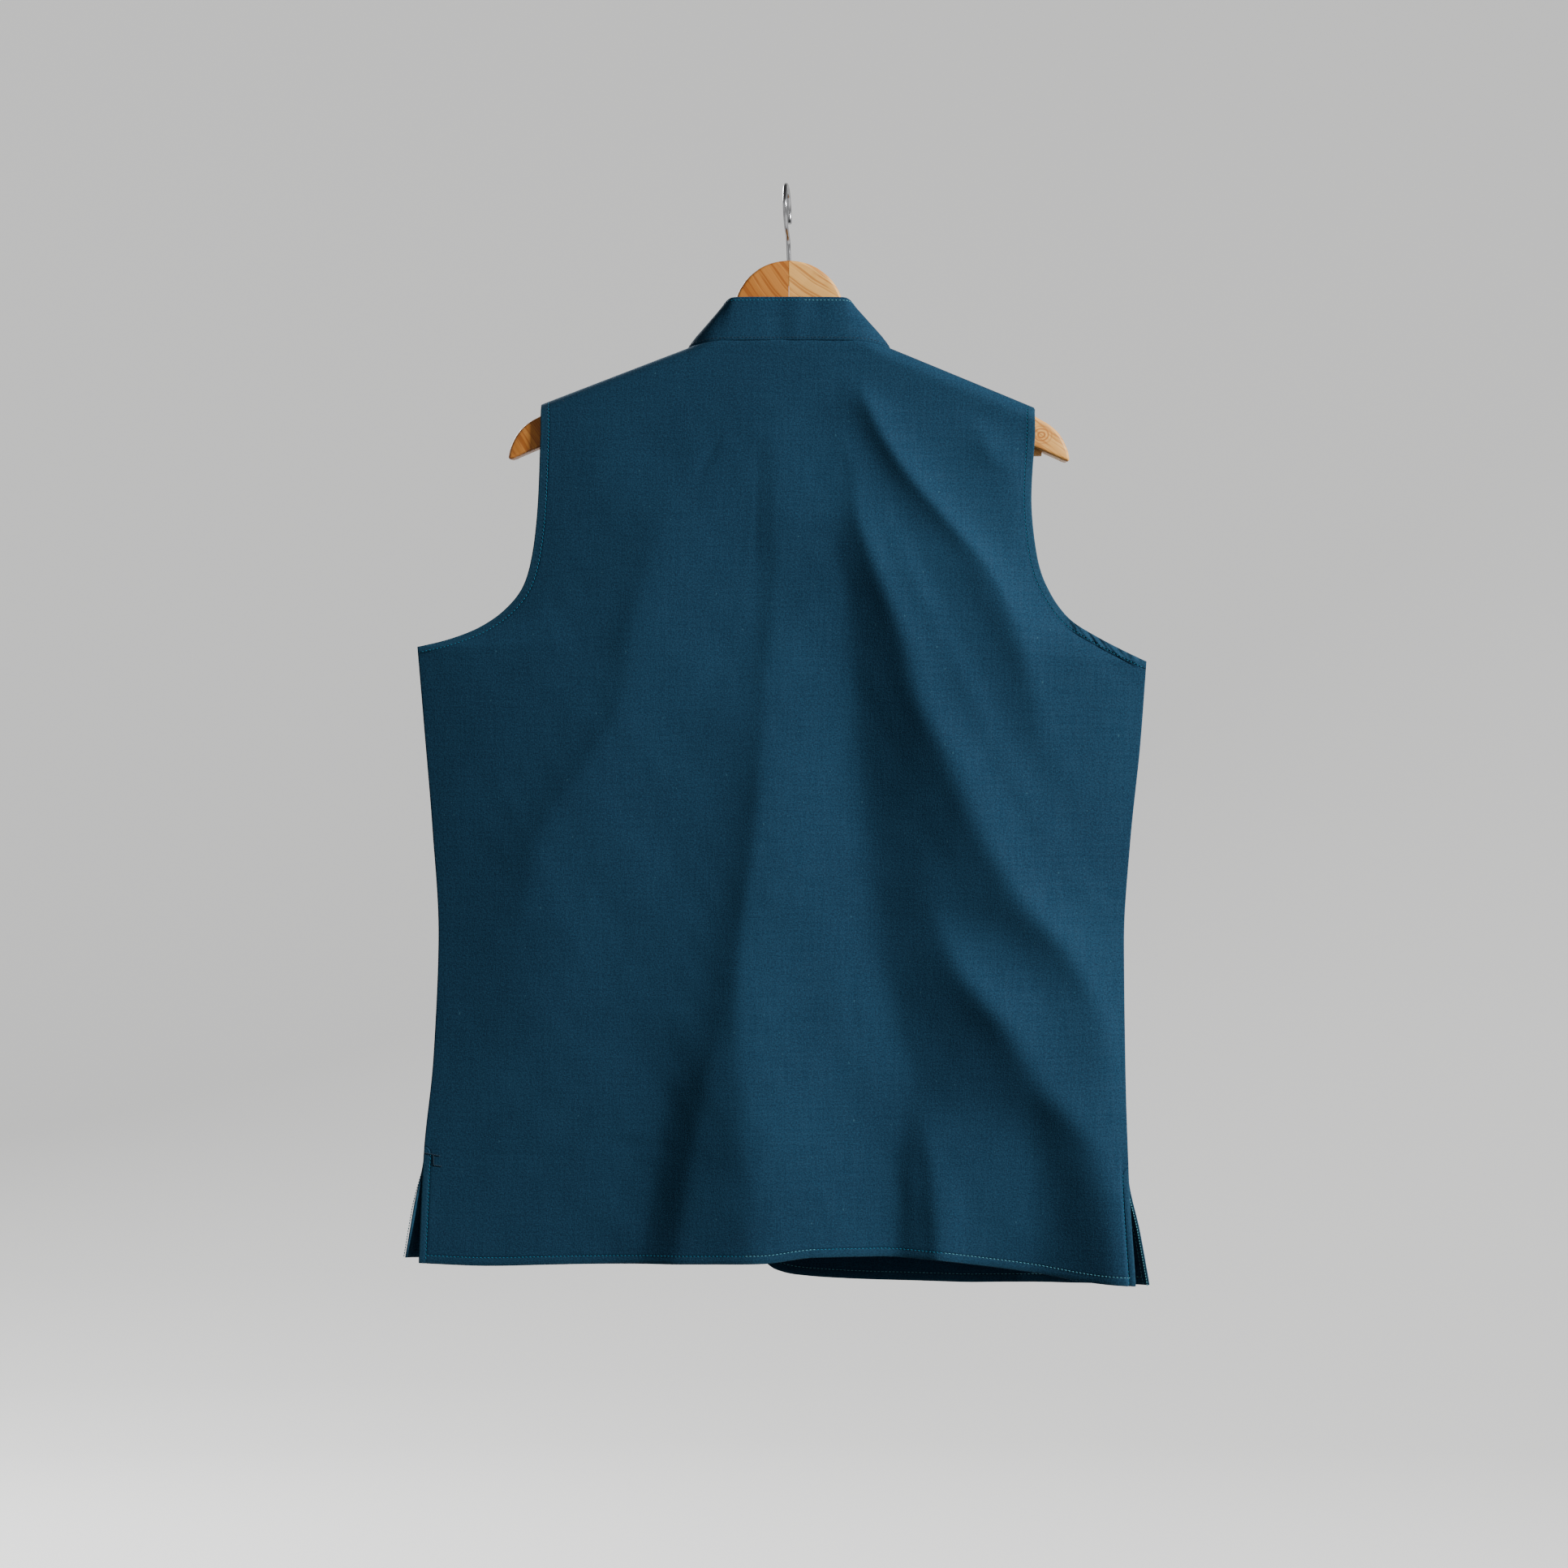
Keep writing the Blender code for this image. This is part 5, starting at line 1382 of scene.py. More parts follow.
@dataclass
class Back:
    """The jacket's back, cut in one, with vents at both sides."""

    columns: int = 168
    rows: int = 224
    hem_stitch: float = 6.0
    vent_stitch: float = 5.0
    armhole_stitch: float = 6.2
    edge_share: float = 0.035
    edge_columns: int = 11
    hem_spans: tuple[Span, ...] = (
        Span("left", -400.0, -33.0, False),
        Span("middle", -33.0, 22.0, True),
        Span("arch", 22.0, 123.0, False),
        Span("right", 123.0, 400.0, True),
    )
    tack: tuple[tuple[str, tuple[float, float], tuple[float, float]], ...] = (
        ("tack_top", (-286.0, -272.5), (-760.8, -763.4)),
        ("tack_notch", (-278.2, -278.0), (-762.6, -770.4)),
        ("tack_foot", (-278.0, -272.2), (-770.6, -771.4)),
    )
    flat: tuple[float, float] = (0.60, 0.76)
    flat_area: float = 0.37

    def build(
        self,
        cloth: bpy.types.Material,
        thread: bpy.types.Material,
        pale: bpy.types.Material,
        shaded: bpy.types.Material,
    ) -> bpy.types.Object:
        """Builds the back with its stitches.

        Args:
            cloth: The cloth's material.
            thread: The thread's material.
            pale: The material of the paler thread, on some stretches of the hem.
            shaded: The thread's material darkened as painted shade, for the vent's tack.

        Returns:
            The back.
        """
        left, right = side_edge("left_x", YOKE), side_edge("right_x", YOKE)
        middle, half = (left + right) / 2, (right - left) / 2
        neck_points = [(CENTRE_X + side * NECK_HALF - middle) / half for side in (-1, 1)]
        fine = np.linspace(0, self.edge_share, self.edge_columns)
        inner = 1 - self.edge_share
        coarse = np.linspace(-inner, inner, self.columns - 2 * self.edge_columns + 2)[1:-1]
        across = np.concatenate([fine - 1, coarse, 1 - fine[::-1]])
        for place in neck_points:
            across[np.argmin(np.abs(across - place))] = place
        fan = np.linspace(-1, 1, 5)
        up = even(
            lambda q: back_points(*np.meshgrid(fan, q)), HEM, TOP, self.rows, (VENT_TOP, UNDERARM, YOKE)
        )
        up = np.concatenate([up[:-1], [TOP - 0.035, TOP - 0.015, TOP]])
        u, q = np.meshgrid(across, up)
        outer = back_points(u, q)
        x, z = outer[..., 0], outer[..., 2]
        fade = (1 - ease(9.4, 10.2, q)) * (1 - np.abs(u) ** 8)
        relief = crease_height(BACK_CREASES, x, z) + unevenness(x, z, 11)
        relief = relief * np.maximum(fade, 0.15 * (q < YOKE))
        relief = relief - 0.5 * ease(TOP - 0.06, TOP, q) + self.vent_ridges(x, q)
        piece = Cloth("back_cloth", BODY_WALL, 1)
        piece.settle(outer, relief)
        hem = piece.grid[0]
        low = up <= VENT_TOP
        high = up >= UNDERARM
        left_vent, right_vent = piece.grid[low, 0][::-1], piece.grid[low, -1]
        left_arm, right_arm = piece.grid[high, 0][::-1], piece.grid[high, -1]
        edges = [
            (hem, self.hem_stitch),
            (left_vent, self.vent_stitch),
            (right_vent, self.vent_stitch),
            (left_arm, self.armhole_stitch),
            (right_arm, self.armhole_stitch),
        ]
        rise = piece.rise()
        yoke_row = int(np.argmin(np.abs(up - YOKE)))
        height = np.where(q <= YOKE, z, z[yoke_row] + rise - rise[yoke_row])
        cut = np.stack([x * MM, height * MM], axis=-1)
        obj = place_object("back_cloth", piece.shell(piece.near_edge(edges), cut), cloth)
        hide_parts("back")
        line, normals = piece.seam_line(hem, self.hem_stitch, 5, 5)
        for span in self.hem_spans:
            inside = (line[:, 0] >= span.x0) & (line[:, 0] < span.x1)
            finish = pale if span.pale else thread
            row = StitchRow(f"back_hem_stitches_{span.name}").build(line[inside], normals[inside], finish)
        # The tack's rows take the darkened thread: real stitches, and painted shade along the tack's top and
        # in its notch.
        for name, x_pair, z_pair in self.tack:
            line, normals = piece.on_line(x_pair, z_pair)
            row = StitchRow(name, pitch=1.3, length=1.6, radius=0.45).build(line, normals, shaded)
        for name, edge, inward, start, end in (
            ("back_left_vent_stitches", left_vent, self.vent_stitch, 0, 1),
            ("back_right_vent_stitches", right_vent, self.vent_stitch, 1, 0),
            ("back_left_armhole_stitches", left_arm, self.armhole_stitch, 0, 0),
            ("back_right_armhole_stitches", right_arm, self.armhole_stitch, 0, 0),
        ):
            line, normals = piece.seam_line(edge, inward, start, end)
            row = StitchRow(name).build(line, normals, thread)
        return obj

    def vent_ridges(self, x: Array, q: Array) -> Array:
        """Returns the height of the ridges and grooves that the sewing raises beside both vents.

        Args:
            x: The points' places across.
            q: The points' levels.

        Returns:
            The height at each point in millimetres.
        """
        below = 1 - ease(VENT_TOP - 0.3, VENT_TOP + 0.25, q)
        from_left = x - side_edge("left_x", q)
        from_right = side_edge("right_x", q) - x
        left = -0.35 * np.exp(-(((from_left - self.vent_stitch) / 1.0) ** 2))
        flank = np.where(from_right > 7.6, 16.0, 1.9)
        ridge = 3.0 * np.exp(-(((from_right - 7.6) / flank) ** 2))
        groove = -1.2 * np.exp(-(((from_right - 5.0) / 1.2) ** 2))
        return below * (left + ridge + groove)


@dataclass
class Front:
    """One front of the jacket."""

    side: int
    columns: int = 112
    rows: int = 220
    hem_stitch: float = 6.0
    vent_stitch: float = 5.0
    armhole_stitch: float = 6.2
    closing_stitch: float = 5.0
    overcast: float = 0.9
    edge_place: float = 0.05
    edge_columns: int = 7
    curl_width: float = 3.5
    curls: dict[int, float] = field(default_factory=lambda: {-1: 6.5, 1: 3.0})
    flat: tuple[float, float] = (0.33, 0.74)
    flat_area: float = 0.195

    @property
    def name(self) -> str:
        """Name of the front's node."""
        return "front_left" if self.side < 0 else "front_right"

    def build(
        self,
        cloth: bpy.types.Material,
        thread: bpy.types.Material,
        pale: bpy.types.Material,
        shaded: bpy.types.Material,
    ) -> bpy.types.Object:
        """Builds the front with its stitches.

        Args:
            cloth: The cloth's material.
            thread: The thread's material.
            pale: The material of the paler thread on the cloth's inner side, which along the vent's edge is
                partly a painted highlight.
            shaded: Not used; no front has the darkened thread.

        Returns:
            The front.
        """
        level_fan = np.array([0.0, 2.0, 4.0, 6.0, 8.0, 10.0, 11.0])
        place_fan = np.array([0.0, 0.5, 1.0, 1.6, 2.4, 3.0])

        def across_fan(place: Array) -> Array:
            return front_points(self.side, *np.meshgrid(place, level_fan, indexing="ij"))

        def up_fan(level: Array) -> Array:
            q, place = np.meshgrid(level, place_fan, indexing="ij")
            return front_points(self.side, place, q)

        fine = np.linspace(0, self.edge_place, self.edge_columns)[:-1]
        wide = even(across_fan, self.edge_place, 3.0, self.columns - len(fine), (1.0, 2.0))
        across = np.concatenate([fine, wide])
        up = even(up_fan, HEM, TOP, self.rows, (VENT_TOP, UNDERARM, YOKE))
        up = np.concatenate([up[:-1], [TOP - 0.035, TOP - 0.015, TOP]])
        place, q = np.meshgrid(across, up)
        outer = front_points(self.side, place, q)
        x, z = outer[..., 0], outer[..., 2]
        curl = self.curls[self.side] * np.exp(-np.abs(x - x[:, :1]) / self.curl_width)
        outer[..., 1] -= curl * (1 - ease(0.3 * VENT_TOP, VENT_TOP, q))
        edge_fade = ease(0.0, 0.12, place) * ease(LAP_FLAT, LAP_GONE, np.abs(x - CENTRE_X))
        fade = (1 - ease(9.0, 10.0, q)) * edge_fade
        relief = (crease_height(FRONT_CREASES, x, z) + unevenness(x, z, 23)) * fade
        relief = relief - 0.5 * ease(TOP - 0.06, TOP, q)
        piece = Cloth(f"{self.name}_cloth", BODY_WALL, self.side)
        piece.settle(outer, relief)
        low = up <= VENT_TOP
        high = up >= UNDERARM
        hem = piece.grid[0]
        vent = piece.grid[low, 0]
        armhole = piece.grid[high, 0]
        closing = piece.grid[up <= YOKE + 0.9, -1]
        edges = [
            (hem, self.hem_stitch),
            (vent, self.vent_stitch),
            (armhole, self.armhole_stitch),
            (closing, self.closing_stitch),
        ]
        rise = piece.rise()
        yoke_row = int(np.argmin(np.abs(up - YOKE)))
        height = np.where(q <= YOKE, z, z[yoke_row] + rise - rise[yoke_row])
        cut = np.stack([x * MM, height * MM], axis=-1)
        obj = place_object(f"{self.name}_cloth", piece.shell(piece.near_edge(edges), cut), cloth)
        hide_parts(self.name)
        for part, edge, inward, start, end in (
            ("hem", hem, self.hem_stitch, 5, 5),
            ("vent", vent, self.vent_stitch, 1, 0),
            ("armhole", armhole, self.armhole_stitch, 0, 0),
            ("closing", closing, self.closing_stitch, 1, 1),
        ):
            line, normals = piece.seam_line(self.facing(piece, edge), inward, start, end)
            row = StitchRow(f"{self.name}_{part}_stitches").build(line, normals, thread)
            if part in ("hem", "vent"):
                under = line - BODY_WALL * normals
                row = StitchRow(f"{self.name}_{part}_under_stitches").build(under, -normals, pale)
            if part == "vent":
                # The overcast row along the vent's edge is in the pale thread: real stitches, and partly a
                # painted highlight on that edge's beads.
                line, normals = piece.seam_line(self.facing(piece, edge), self.overcast, 1, 0)
                under = line - BODY_WALL * normals
                row = StitchRow(f"{self.name}_vent_overcast", 2.2, 1.9, 0.42).build(under, -normals, pale)
        return obj

    def facing(self, piece: Cloth, edge: Array) -> Array:
        """Turns an edge's points so that the cloth lies on the left of the way along it.

        Args:
            piece: The cloth.
            edge: The edge's points.

        Returns:
            The points in that order.
        """
        number = len(edge) // 2
        ahead = unit((edge[number + 1] - edge[number - 1])[None])[0]
        _, normal, _, _ = piece.tree.find_nearest(Vector(edge[number]))
        aside = np.cross(np.array(normal), ahead)
        spot = edge[number] + 8.0 * aside
        place, _, _, _ = piece.tree.find_nearest(Vector(spot))
        missed = np.linalg.norm(np.array(place) - spot)
        return edge if missed < 4.0 else edge[::-1]


@dataclass
class Collar:
    """The stand collar, one stiffened band round the neck."""

    rows: int = 22
    half_columns: int = 86
    top_stitch: float = 1.9
    painted_light_from: float = 12.0
    flat: tuple[float, float] = (0.43, 0.036)
    flat_area: float = 0.0148

    def build(
        self,
        cloth: bpy.types.Material,
        thread: bpy.types.Material,
        pale: bpy.types.Material,
        shaded: bpy.types.Material,
    ) -> bpy.types.Object:
        """Builds the collar with its stitches.

        Args:
            cloth: The cloth's material.
            thread: The thread's material.
            pale: The material of the paler thread, a painted highlight on the top edge's right part at the
                back.
            shaded: The thread's material darkened as painted shade, for the collar's foot under the seam.

        Returns:
            The collar.
        """
        half_steps = np.linspace(0, NECK_END_STEP, self.half_columns)
        step = np.concatenate([half_steps[::-1], half_steps[1:]])
        side = np.concatenate([-np.ones(self.half_columns), np.ones(self.half_columns - 1)])
        side[self.half_columns - 1] = 0.0
        seam_x = CENTRE_X + side * neck_at("seam_x", step)
        lift = np.where(side < 0, lap_lift(-1, seam_x), lap_lift(1, seam_x)) * (step > NECK_POINT_STEP)
        seam = np.stack([seam_x, neck_at("seam_y", step) + lift, neck_at("seam_z", step)], axis=-1)
        top_x = CENTRE_X + side * neck_at("top_x", step)
        top = np.stack([top_x, neck_at("top_y", step), neck_at("top_z", step)], axis=-1)
        seam = seam + COLLAR_GAP * unit(top - seam)
        bulge = np.stack([side * neck_at("bulge", step), 0 * step, 0 * step], axis=-1)
        heights = np.linspace(0, 1, self.rows)[:, None, None]
        outer = seam + (top - seam) * heights + bulge * 4 * heights * (1 - heights)
        x, z = outer[..., 0], outer[..., 2]
        at_back = outer[..., 1] < 0
        relief = np.where(at_back, self.dents(x, z), 0.0) + 0.35 * unevenness(x * 2, z * 2, 5)
        piece = Cloth("collar_cloth", COLLAR_WALL, 1, rim=0.9)
        piece.settle(outer, relief)
        top_edge = piece.grid[-1, ::-1]
        across = np.cumsum(np.linalg.norm(np.diff(piece.grid[self.rows // 2], axis=0), axis=1))
        across = np.concatenate([[0], across]) - across[len(across) // 2]
        rise = np.linspace(0, 0.034, self.rows)
        cut = np.stack(np.meshgrid(across * MM, rise), axis=-1)
        obj = place_object("collar_cloth", piece.shell(np.full(piece.grid.shape[:2], 4.0), cut), cloth)
        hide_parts("collar")
        top_line = piece.seam_line(top_edge, self.top_stitch, 2, 2)
        foot_line = piece.seam_line(piece.grid[0], 1.6, 2, 2)
        # Painted highlight: the top stitches on the back's right part, where the light falls, take the pale
        # thread.
        paler = (top_line[0][:, 0] > self.painted_light_from) & (top_line[0][:, 1] < 0)
        first = int(np.argmax(paler))
        last = len(paler) - int(np.argmax(paler[::-1]))
        for name, (line, normals), finish in (
            ("collar_top_stitches_right", [part[:first] for part in top_line], thread),
            ("collar_top_stitches_painted_light", [part[first:last] for part in top_line], pale),
            ("collar_top_stitches_left", [part[last:] for part in top_line], thread),
            # The foot's stitches take the darkened thread, painted shade along the seam under the collar.
            ("collar_foot_stitches", foot_line, shaded),
        ):
            row = StitchRow(name).build(line, normals, finish)
        return obj

    def dents(self, x: Array, z: Array) -> Array:
        """Returns the soft dents of the collar's back."""
        ridge = 0.5 * np.exp(-(((x - 8.0) / 8.0) ** 2))
        left = -0.4 * np.exp(-(((x + 6.0) / 8.0) ** 2))
        right = -0.6 * np.exp(-(((x - 26.0) / 9.0) ** 2) - ((z + 95.0) / 12.0) ** 2)
        return ridge + left + right


class Tool:
    """Short calls to Blender's own operators on one piece at a time."""

    @staticmethod
    def clear() -> None:
        """Leaves edit mode and deselects everything."""
        if bpy.context.object is not None and bpy.context.object.mode != "OBJECT":
            bpy.ops.object.mode_set(mode="OBJECT")
        bpy.ops.object.select_all(action="DESELECT")

    @staticmethod
    def take(obj: bpy.types.Object) -> None:
        """Makes one object the only selected and active one."""
        Tool.clear()
        obj.select_set(True)
        bpy.context.view_layer.objects.active = obj

    @staticmethod
    def choose(obj: bpy.types.Object, kind: str, test: Callable[[object], bool]) -> None:
        """Opens an object for editing with those faces, edges or vertices selected that pass a test.

        Args:
            obj: The object.
            kind: FACE, EDGE or VERT.
            test: Whether an element is selected.
        """
        Tool.take(obj)
        bpy.ops.object.mode_set(mode="EDIT")
        bpy.ops.mesh.select_mode(type=kind)
        bpy.ops.mesh.select_all(action="DESELECT")
        work = bmesh.from_edit_mesh(obj.data)
        elements = {"FACE": work.faces, "EDGE": work.edges, "VERT": work.verts}[kind]
        for element in elements:
            if test(element):
                element.select_set(True)
        work.select_flush_mode()
        bmesh.update_edit_mesh(obj.data)

    @staticmethod
    def apply(obj: bpy.types.Object, kind: str, **settings: object) -> None:
        """Adds a modifier to an object and applies it."""
        Tool.take(obj)
        bpy.ops.object.modifier_add(type=kind)
        modifier = obj.modifiers[-1]
        for name, value in settings.items():
            setattr(modifier, name, value)
        bpy.ops.object.modifier_apply(modifier=modifier.name)

    @staticmethod
    def settle(obj: bpy.types.Object, angle: float = 35.0) -> None:
        """Applies an object's transforms and shades it smooth up to an angle."""
        Tool.take(obj)
        bpy.ops.object.transform_apply(location=True, rotation=True, scale=True)
        bpy.ops.object.shade_smooth_by_angle(angle=math.radians(angle))

    @staticmethod
    def dress(obj: bpy.types.Object, name: str, finish: bpy.types.Material, slot: str) -> None:
        """Names an object, gives it its finish and rides it on the part."""
        obj.name = name
        obj.data.materials.clear()
        obj.data.materials.append(finish)
        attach(obj, "root")


class Outline(NamedTuple):
    """One point of a wooden arm's outline: how far from the middle, and its top and bottom there."""

    reach: float
    top: float
    bottom: float


@dataclass
class Hanger:
    """The wooden hanger with its bar and its wire hook."""

    outline: tuple[Outline, ...] = (
        Outline(-12.0, -57.8, -107.0),
        Outline(0.0, -58.2, -108.0),
        Outline(15.0, -60.9, -110.0),
        Outline(27.0, -67.5, -114.0),
        Outline(36.0, -77.0, -118.5),
        Outline(40.8, -86.2, -121.5),
        Outline(43.2, -95.6, -123.5),
        Outline(44.6, -104.0, -124.6),
        Outline(47.5, -112.0, -126.8),
        Outline(54.0, -120.0, -131.5),
        Outline(66.0, -125.6, -141.0),
        Outline(80.0, -129.6, -150.0),
        Outline(100.0, -137.4, -161.5),
        Outline(120.0, -145.3, -171.5),
        Outline(150.0, -157.2, -185.5),
        Outline(172.0, -166.8, -195.2),
        Outline(186.0, -174.6, -201.2),
        Outline(196.0, -180.8, -205.4),
        Outline(206.0, -186.6, -209.6),
        Outline(213.6, -194.0, -212.8),
    )
    tip: tuple[tuple[float, float], ...] = (
        (218.2, -202.2),
        (220.8, -210.4),
        (220.5, -214.6),
        (217.6, -214.5),
    )
    half_thickness: float = 7.4
    edge_round: float = 2.4
    tilt: float = 0.004
    joint_half_gap: float = 0.15
    tip_thicker: float = 1.22
    bar_radius: float = 5.0
    bar_ends: tuple[float, float] = (-194.0, 201.6)
    bar_z: float = -206.5
    fit_gap: float = 0.3
    wire_radius: float = 1.7
    hook_radius: float = 20.0
    hook_turn: float = 85.0
    hook_span: tuple[int, int, int] = (-25, 235, 10)
    straight_z: float = -47.0
    handle: float = 7.0
    wood_top: float = -58.2
    shank_end: float = -78.0
    dark_wood: WoodFinish = DARK_WOOD
    pale_wood: WoodFinish = PALE_WOOD
    wire: WireFinish = WIRE

    def arm(self, side: int) -> bpy.types.Object:
        """Cuts one arm from a plate with rounded edges and bends it forward.

        Args:
            side: -1 for the left arm and +1 for the right one.

        Returns:
            The arm.
        """
        Tool.clear()
        bpy.ops.curve.primitive_bezier_curve_add(enter_editmode=False)
        obj = bpy.context.object
        data = obj.data
        data.dimensions = "2D"
        data.fill_mode = "BOTH"
        data.extrude = (self.half_thickness - self.edge_round) * MM
        data.bevel_depth = self.edge_round * MM
        data.bevel_resolution = 4
        data.offset = -self.edge_round * MM
        data.resolution_u = 5
        data.splines.clear()
        spline = data.splines.new("BEZIER")
        round_trip = [(row.reach, row.top) for row in self.outline] + list(self.tip)
        round_trip += [(row.reach, row.bottom) for row in reversed(self.outline)]
        spline.bezier_points.add(len(round_trip) - 1)
        for point, (reach, height) in zip(spline.bezier_points, round_trip):
            point.co = (reach * MM, (height - side * self.tilt * reach) * MM, 0.0)
            point.handle_left_type = point.handle_right_type = "AUTO"
        for corner in (0, -1):
            spline.bezier_points[corner].handle_left_type = "VECTOR"
            spline.bezier_points[corner].handle_right_type = "VECTOR"
        spline.use_cyclic_u = True
        bpy.ops.object.convert(target="MESH")
        obj = bpy.context.object
        Tool.choose(obj, "VERT", lambda vertex: True)
        bpy.ops.mesh.remove_doubles(threshold=0.00001)
        bpy.ops.mesh.bisect(
            plane_co=(self.joint_half_gap * MM, 0.0, 0.0),
            plane_no=(1.0, 0.0, 0.0),
            use_fill=True,
            clear_inner=True,
        )
        for reach in range(20, 220, 10):
            bpy.ops.mesh.select_all(action="SELECT")
            bpy.ops.mesh.bisect(plane_co=(reach * MM, 0.0, 0.0), plane_no=(1.0, 0.0, 0.0))
        Tool.choose(obj, "VERT", lambda vertex: vertex.co.x > 0.17)
        bpy.ops.transform.resize(
            value=(1.0, 1.0, self.tip_thicker),
            center_override=(0.0, 0.0, 0.0),
            use_proportional_edit=True,
            proportional_edit_falloff="SMOOTH",
            proportional_size=0.09,
        )
        bpy.ops.mesh.select_all(action="SELECT")
        bpy.ops.mesh.normals_make_consistent(inside=False)
        Tool.clear()
        Tool.take(obj)
        obj.rotation_euler = (math.radians(90), 0.0, 0.0)
        bpy.ops.object.transform_apply(location=True, rotation=True, scale=True)
        reach = max(vertex.co.x for vertex in obj.data.vertices) * 1000
        curve = 2 * ARM_SWEEP / ARM_REACH**2
        Tool.apply(obj, "SIMPLE_DEFORM", deform_method="BEND", deform_axis="Z", angle=reach * curve)
        if side < 0:
            obj.scale = (-1.0, 1.0, 1.0)
            Tool.take(obj)
            bpy.ops.object.transform_apply(location=True, rotation=True, scale=True)
            Tool.choose(obj, "FACE", lambda face: True)
            bpy.ops.mesh.normals_make_consistent(inside=False)
        Tool.take(obj)
        obj.location = (CENTRE_X * MM, 0.0, 0.0)
        bpy.ops.object.transform_apply(location=True, rotation=True, scale=True)
        return obj

    def rod(
        self, radius: float, start: Sequence[float], end: Sequence[float], sides: int
    ) -> bpy.types.Object:
        """Adds a round rod between two places in millimetres."""
        Tool.clear()
        first, last = Vector(start) * MM, Vector(end) * MM
        turn = (last - first).to_track_quat("Z", "Y").to_euler()
        bpy.ops.mesh.primitive_cylinder_add(
            vertices=sides,
            radius=radius * MM,
            depth=(last - first).length,
            location=(first + last) / 2,
            rotation=turn,
        )
        obj = bpy.context.object
        bpy.ops.object.transform_apply(location=True, rotation=True, scale=True)
        return obj

    def drill(self, obj: bpy.types.Object, cutter: bpy.types.Object) -> None:
        """Cuts a rod out of a piece."""
        Tool.apply(obj, "BOOLEAN", operation="DIFFERENCE", object=cutter, solver="EXACT")

    def bar(self) -> bpy.types.Object:
        """Turns the trouser bar, with softly rounded ends."""
        bar_y = float(sweep(np.array(CENTRE_X + TIP_HALF)))
        left, right = self.bar_ends
        obj = self.rod(self.bar_radius, (left, bar_y, self.bar_z), (right, bar_y, self.bar_z), 40)
        Tool.choose(obj, "FACE", lambda face: abs(face.normal.x) > 0.9)
        bpy.ops.mesh.inset(thickness=0.001)
        bpy.ops.mesh.inset(thickness=0.002)
        Tool.choose(
            obj, "EDGE", lambda edge: len({abs(face.normal.x) > 0.9 for face in edge.link_faces}) == 2
        )
        bpy.ops.mesh.bevel(offset=0.0007, segments=3)
        Tool.settle(obj)
        return obj

    def hook_piece(self) -> bpy.types.Object:
        """Bends the wire hook: its open end, over the top, down and into the wood."""
        centre_z = self.wire_radius - self.hook_radius
        first, last, step = self.hook_span
        flat = []
        for degrees in range(first, last + 1, step):
            angle = math.radians(degrees)
            flat.append((self.hook_radius * math.cos(angle), centre_z + self.hook_radius * math.sin(angle)))
        start = Vector(flat[-1])
        turned = math.radians(last)
        away = Vector((-math.sin(turned), math.cos(turned)))
        end = Vector((0.0, self.straight_z))
        for share in (0.2, 0.4, 0.6, 0.8, 1.0):
            point = start * (1 - share) ** 3 + (start + away * self.handle) * 3 * share * (1 - share) ** 2
            point = point + (end + Vector((0.0, self.handle))) * 3 * share**2 * (1 - share) + end * share**3
            flat.append(tuple(point))
        flat += [(0.0, (self.straight_z + self.wood_top) / 2), (0.0, self.wood_top), (0.0, self.shank_end)]
        Tool.clear()
        bpy.ops.curve.primitive_bezier_curve_add(enter_editmode=False)
        obj = bpy.context.object
        data = obj.data
        data.dimensions = "3D"
        data.bevel_depth = self.wire_radius * MM
        data.bevel_resolution = 6
        data.resolution_u = 6
        data.use_fill_caps = True
        data.splines.clear()
        spline = data.splines.new("BEZIER")
        spline.bezier_points.add(len(flat) - 1)
        turn = math.radians(self.hook_turn)
        for point, (out, height) in zip(spline.bezier_points, flat):
            lean = CENTRE_X * min(1.0, max(0.0, height / self.wood_top))
            point.co = Vector((lean + out * math.cos(turn), out * math.sin(turn), height)) * MM
            point.handle_left_type = point.handle_right_type = "AUTO"
        bpy.ops.object.convert(target="MESH")
        obj = bpy.context.object
        Tool.choose(obj, "VERT", lambda vertex: True)
        bpy.ops.mesh.remove_doubles(threshold=0.00001)
        Tool.choose(obj, "EDGE", lambda edge: any(len(face.verts) > 8 for face in edge.link_faces))
        bpy.ops.mesh.bevel(offset=0.0009, segments=4)
        Tool.settle(obj)
        return obj

    def build(self) -> None:
        """Builds the hanger's pieces in place of their solids."""
        dark = self.dark_wood.material()
        pale = self.pale_wood.material()
        bar_y = float(sweep(np.array(CENTRE_X + TIP_HALF)))
        left, right = self.bar_ends
        gap = self.fit_gap
        groove = self.rod(
            self.bar_radius + gap,
            (left - gap, bar_y, self.bar_z),
            (right + gap, bar_y, self.bar_z),
            40,
        )
        bore = self.rod(
            self.wire_radius + gap, (CENTRE_X, 0.0, self.shank_end - gap), (CENTRE_X, 0.0, -50.0), 24
        )
        for name, side, finish, slot in (
            ("hanger_arm_left", -1, dark, "wood_dark"),
            ("hanger_arm_right", 1, pale, "wood_pale"),
        ):
            arm = self.arm(side)
            self.drill(arm, groove)
            self.drill(arm, bore)
            Tool.settle(arm, 40.0)
            Tool.dress(arm, f"{name}_turned", finish, slot)
            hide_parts(name)
        for cutter in (groove, bore):
            Tool.take(cutter)
            bpy.ops.object.delete()
        bar = self.bar()
        Tool.dress(bar, "trouser_bar_turned", pale, "wood_pale")
        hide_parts("trouser_bar")
        hook = self.hook_piece()
        Tool.dress(hook, "hook_wire", self.wire.material(), "wire")
        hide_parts("hook")


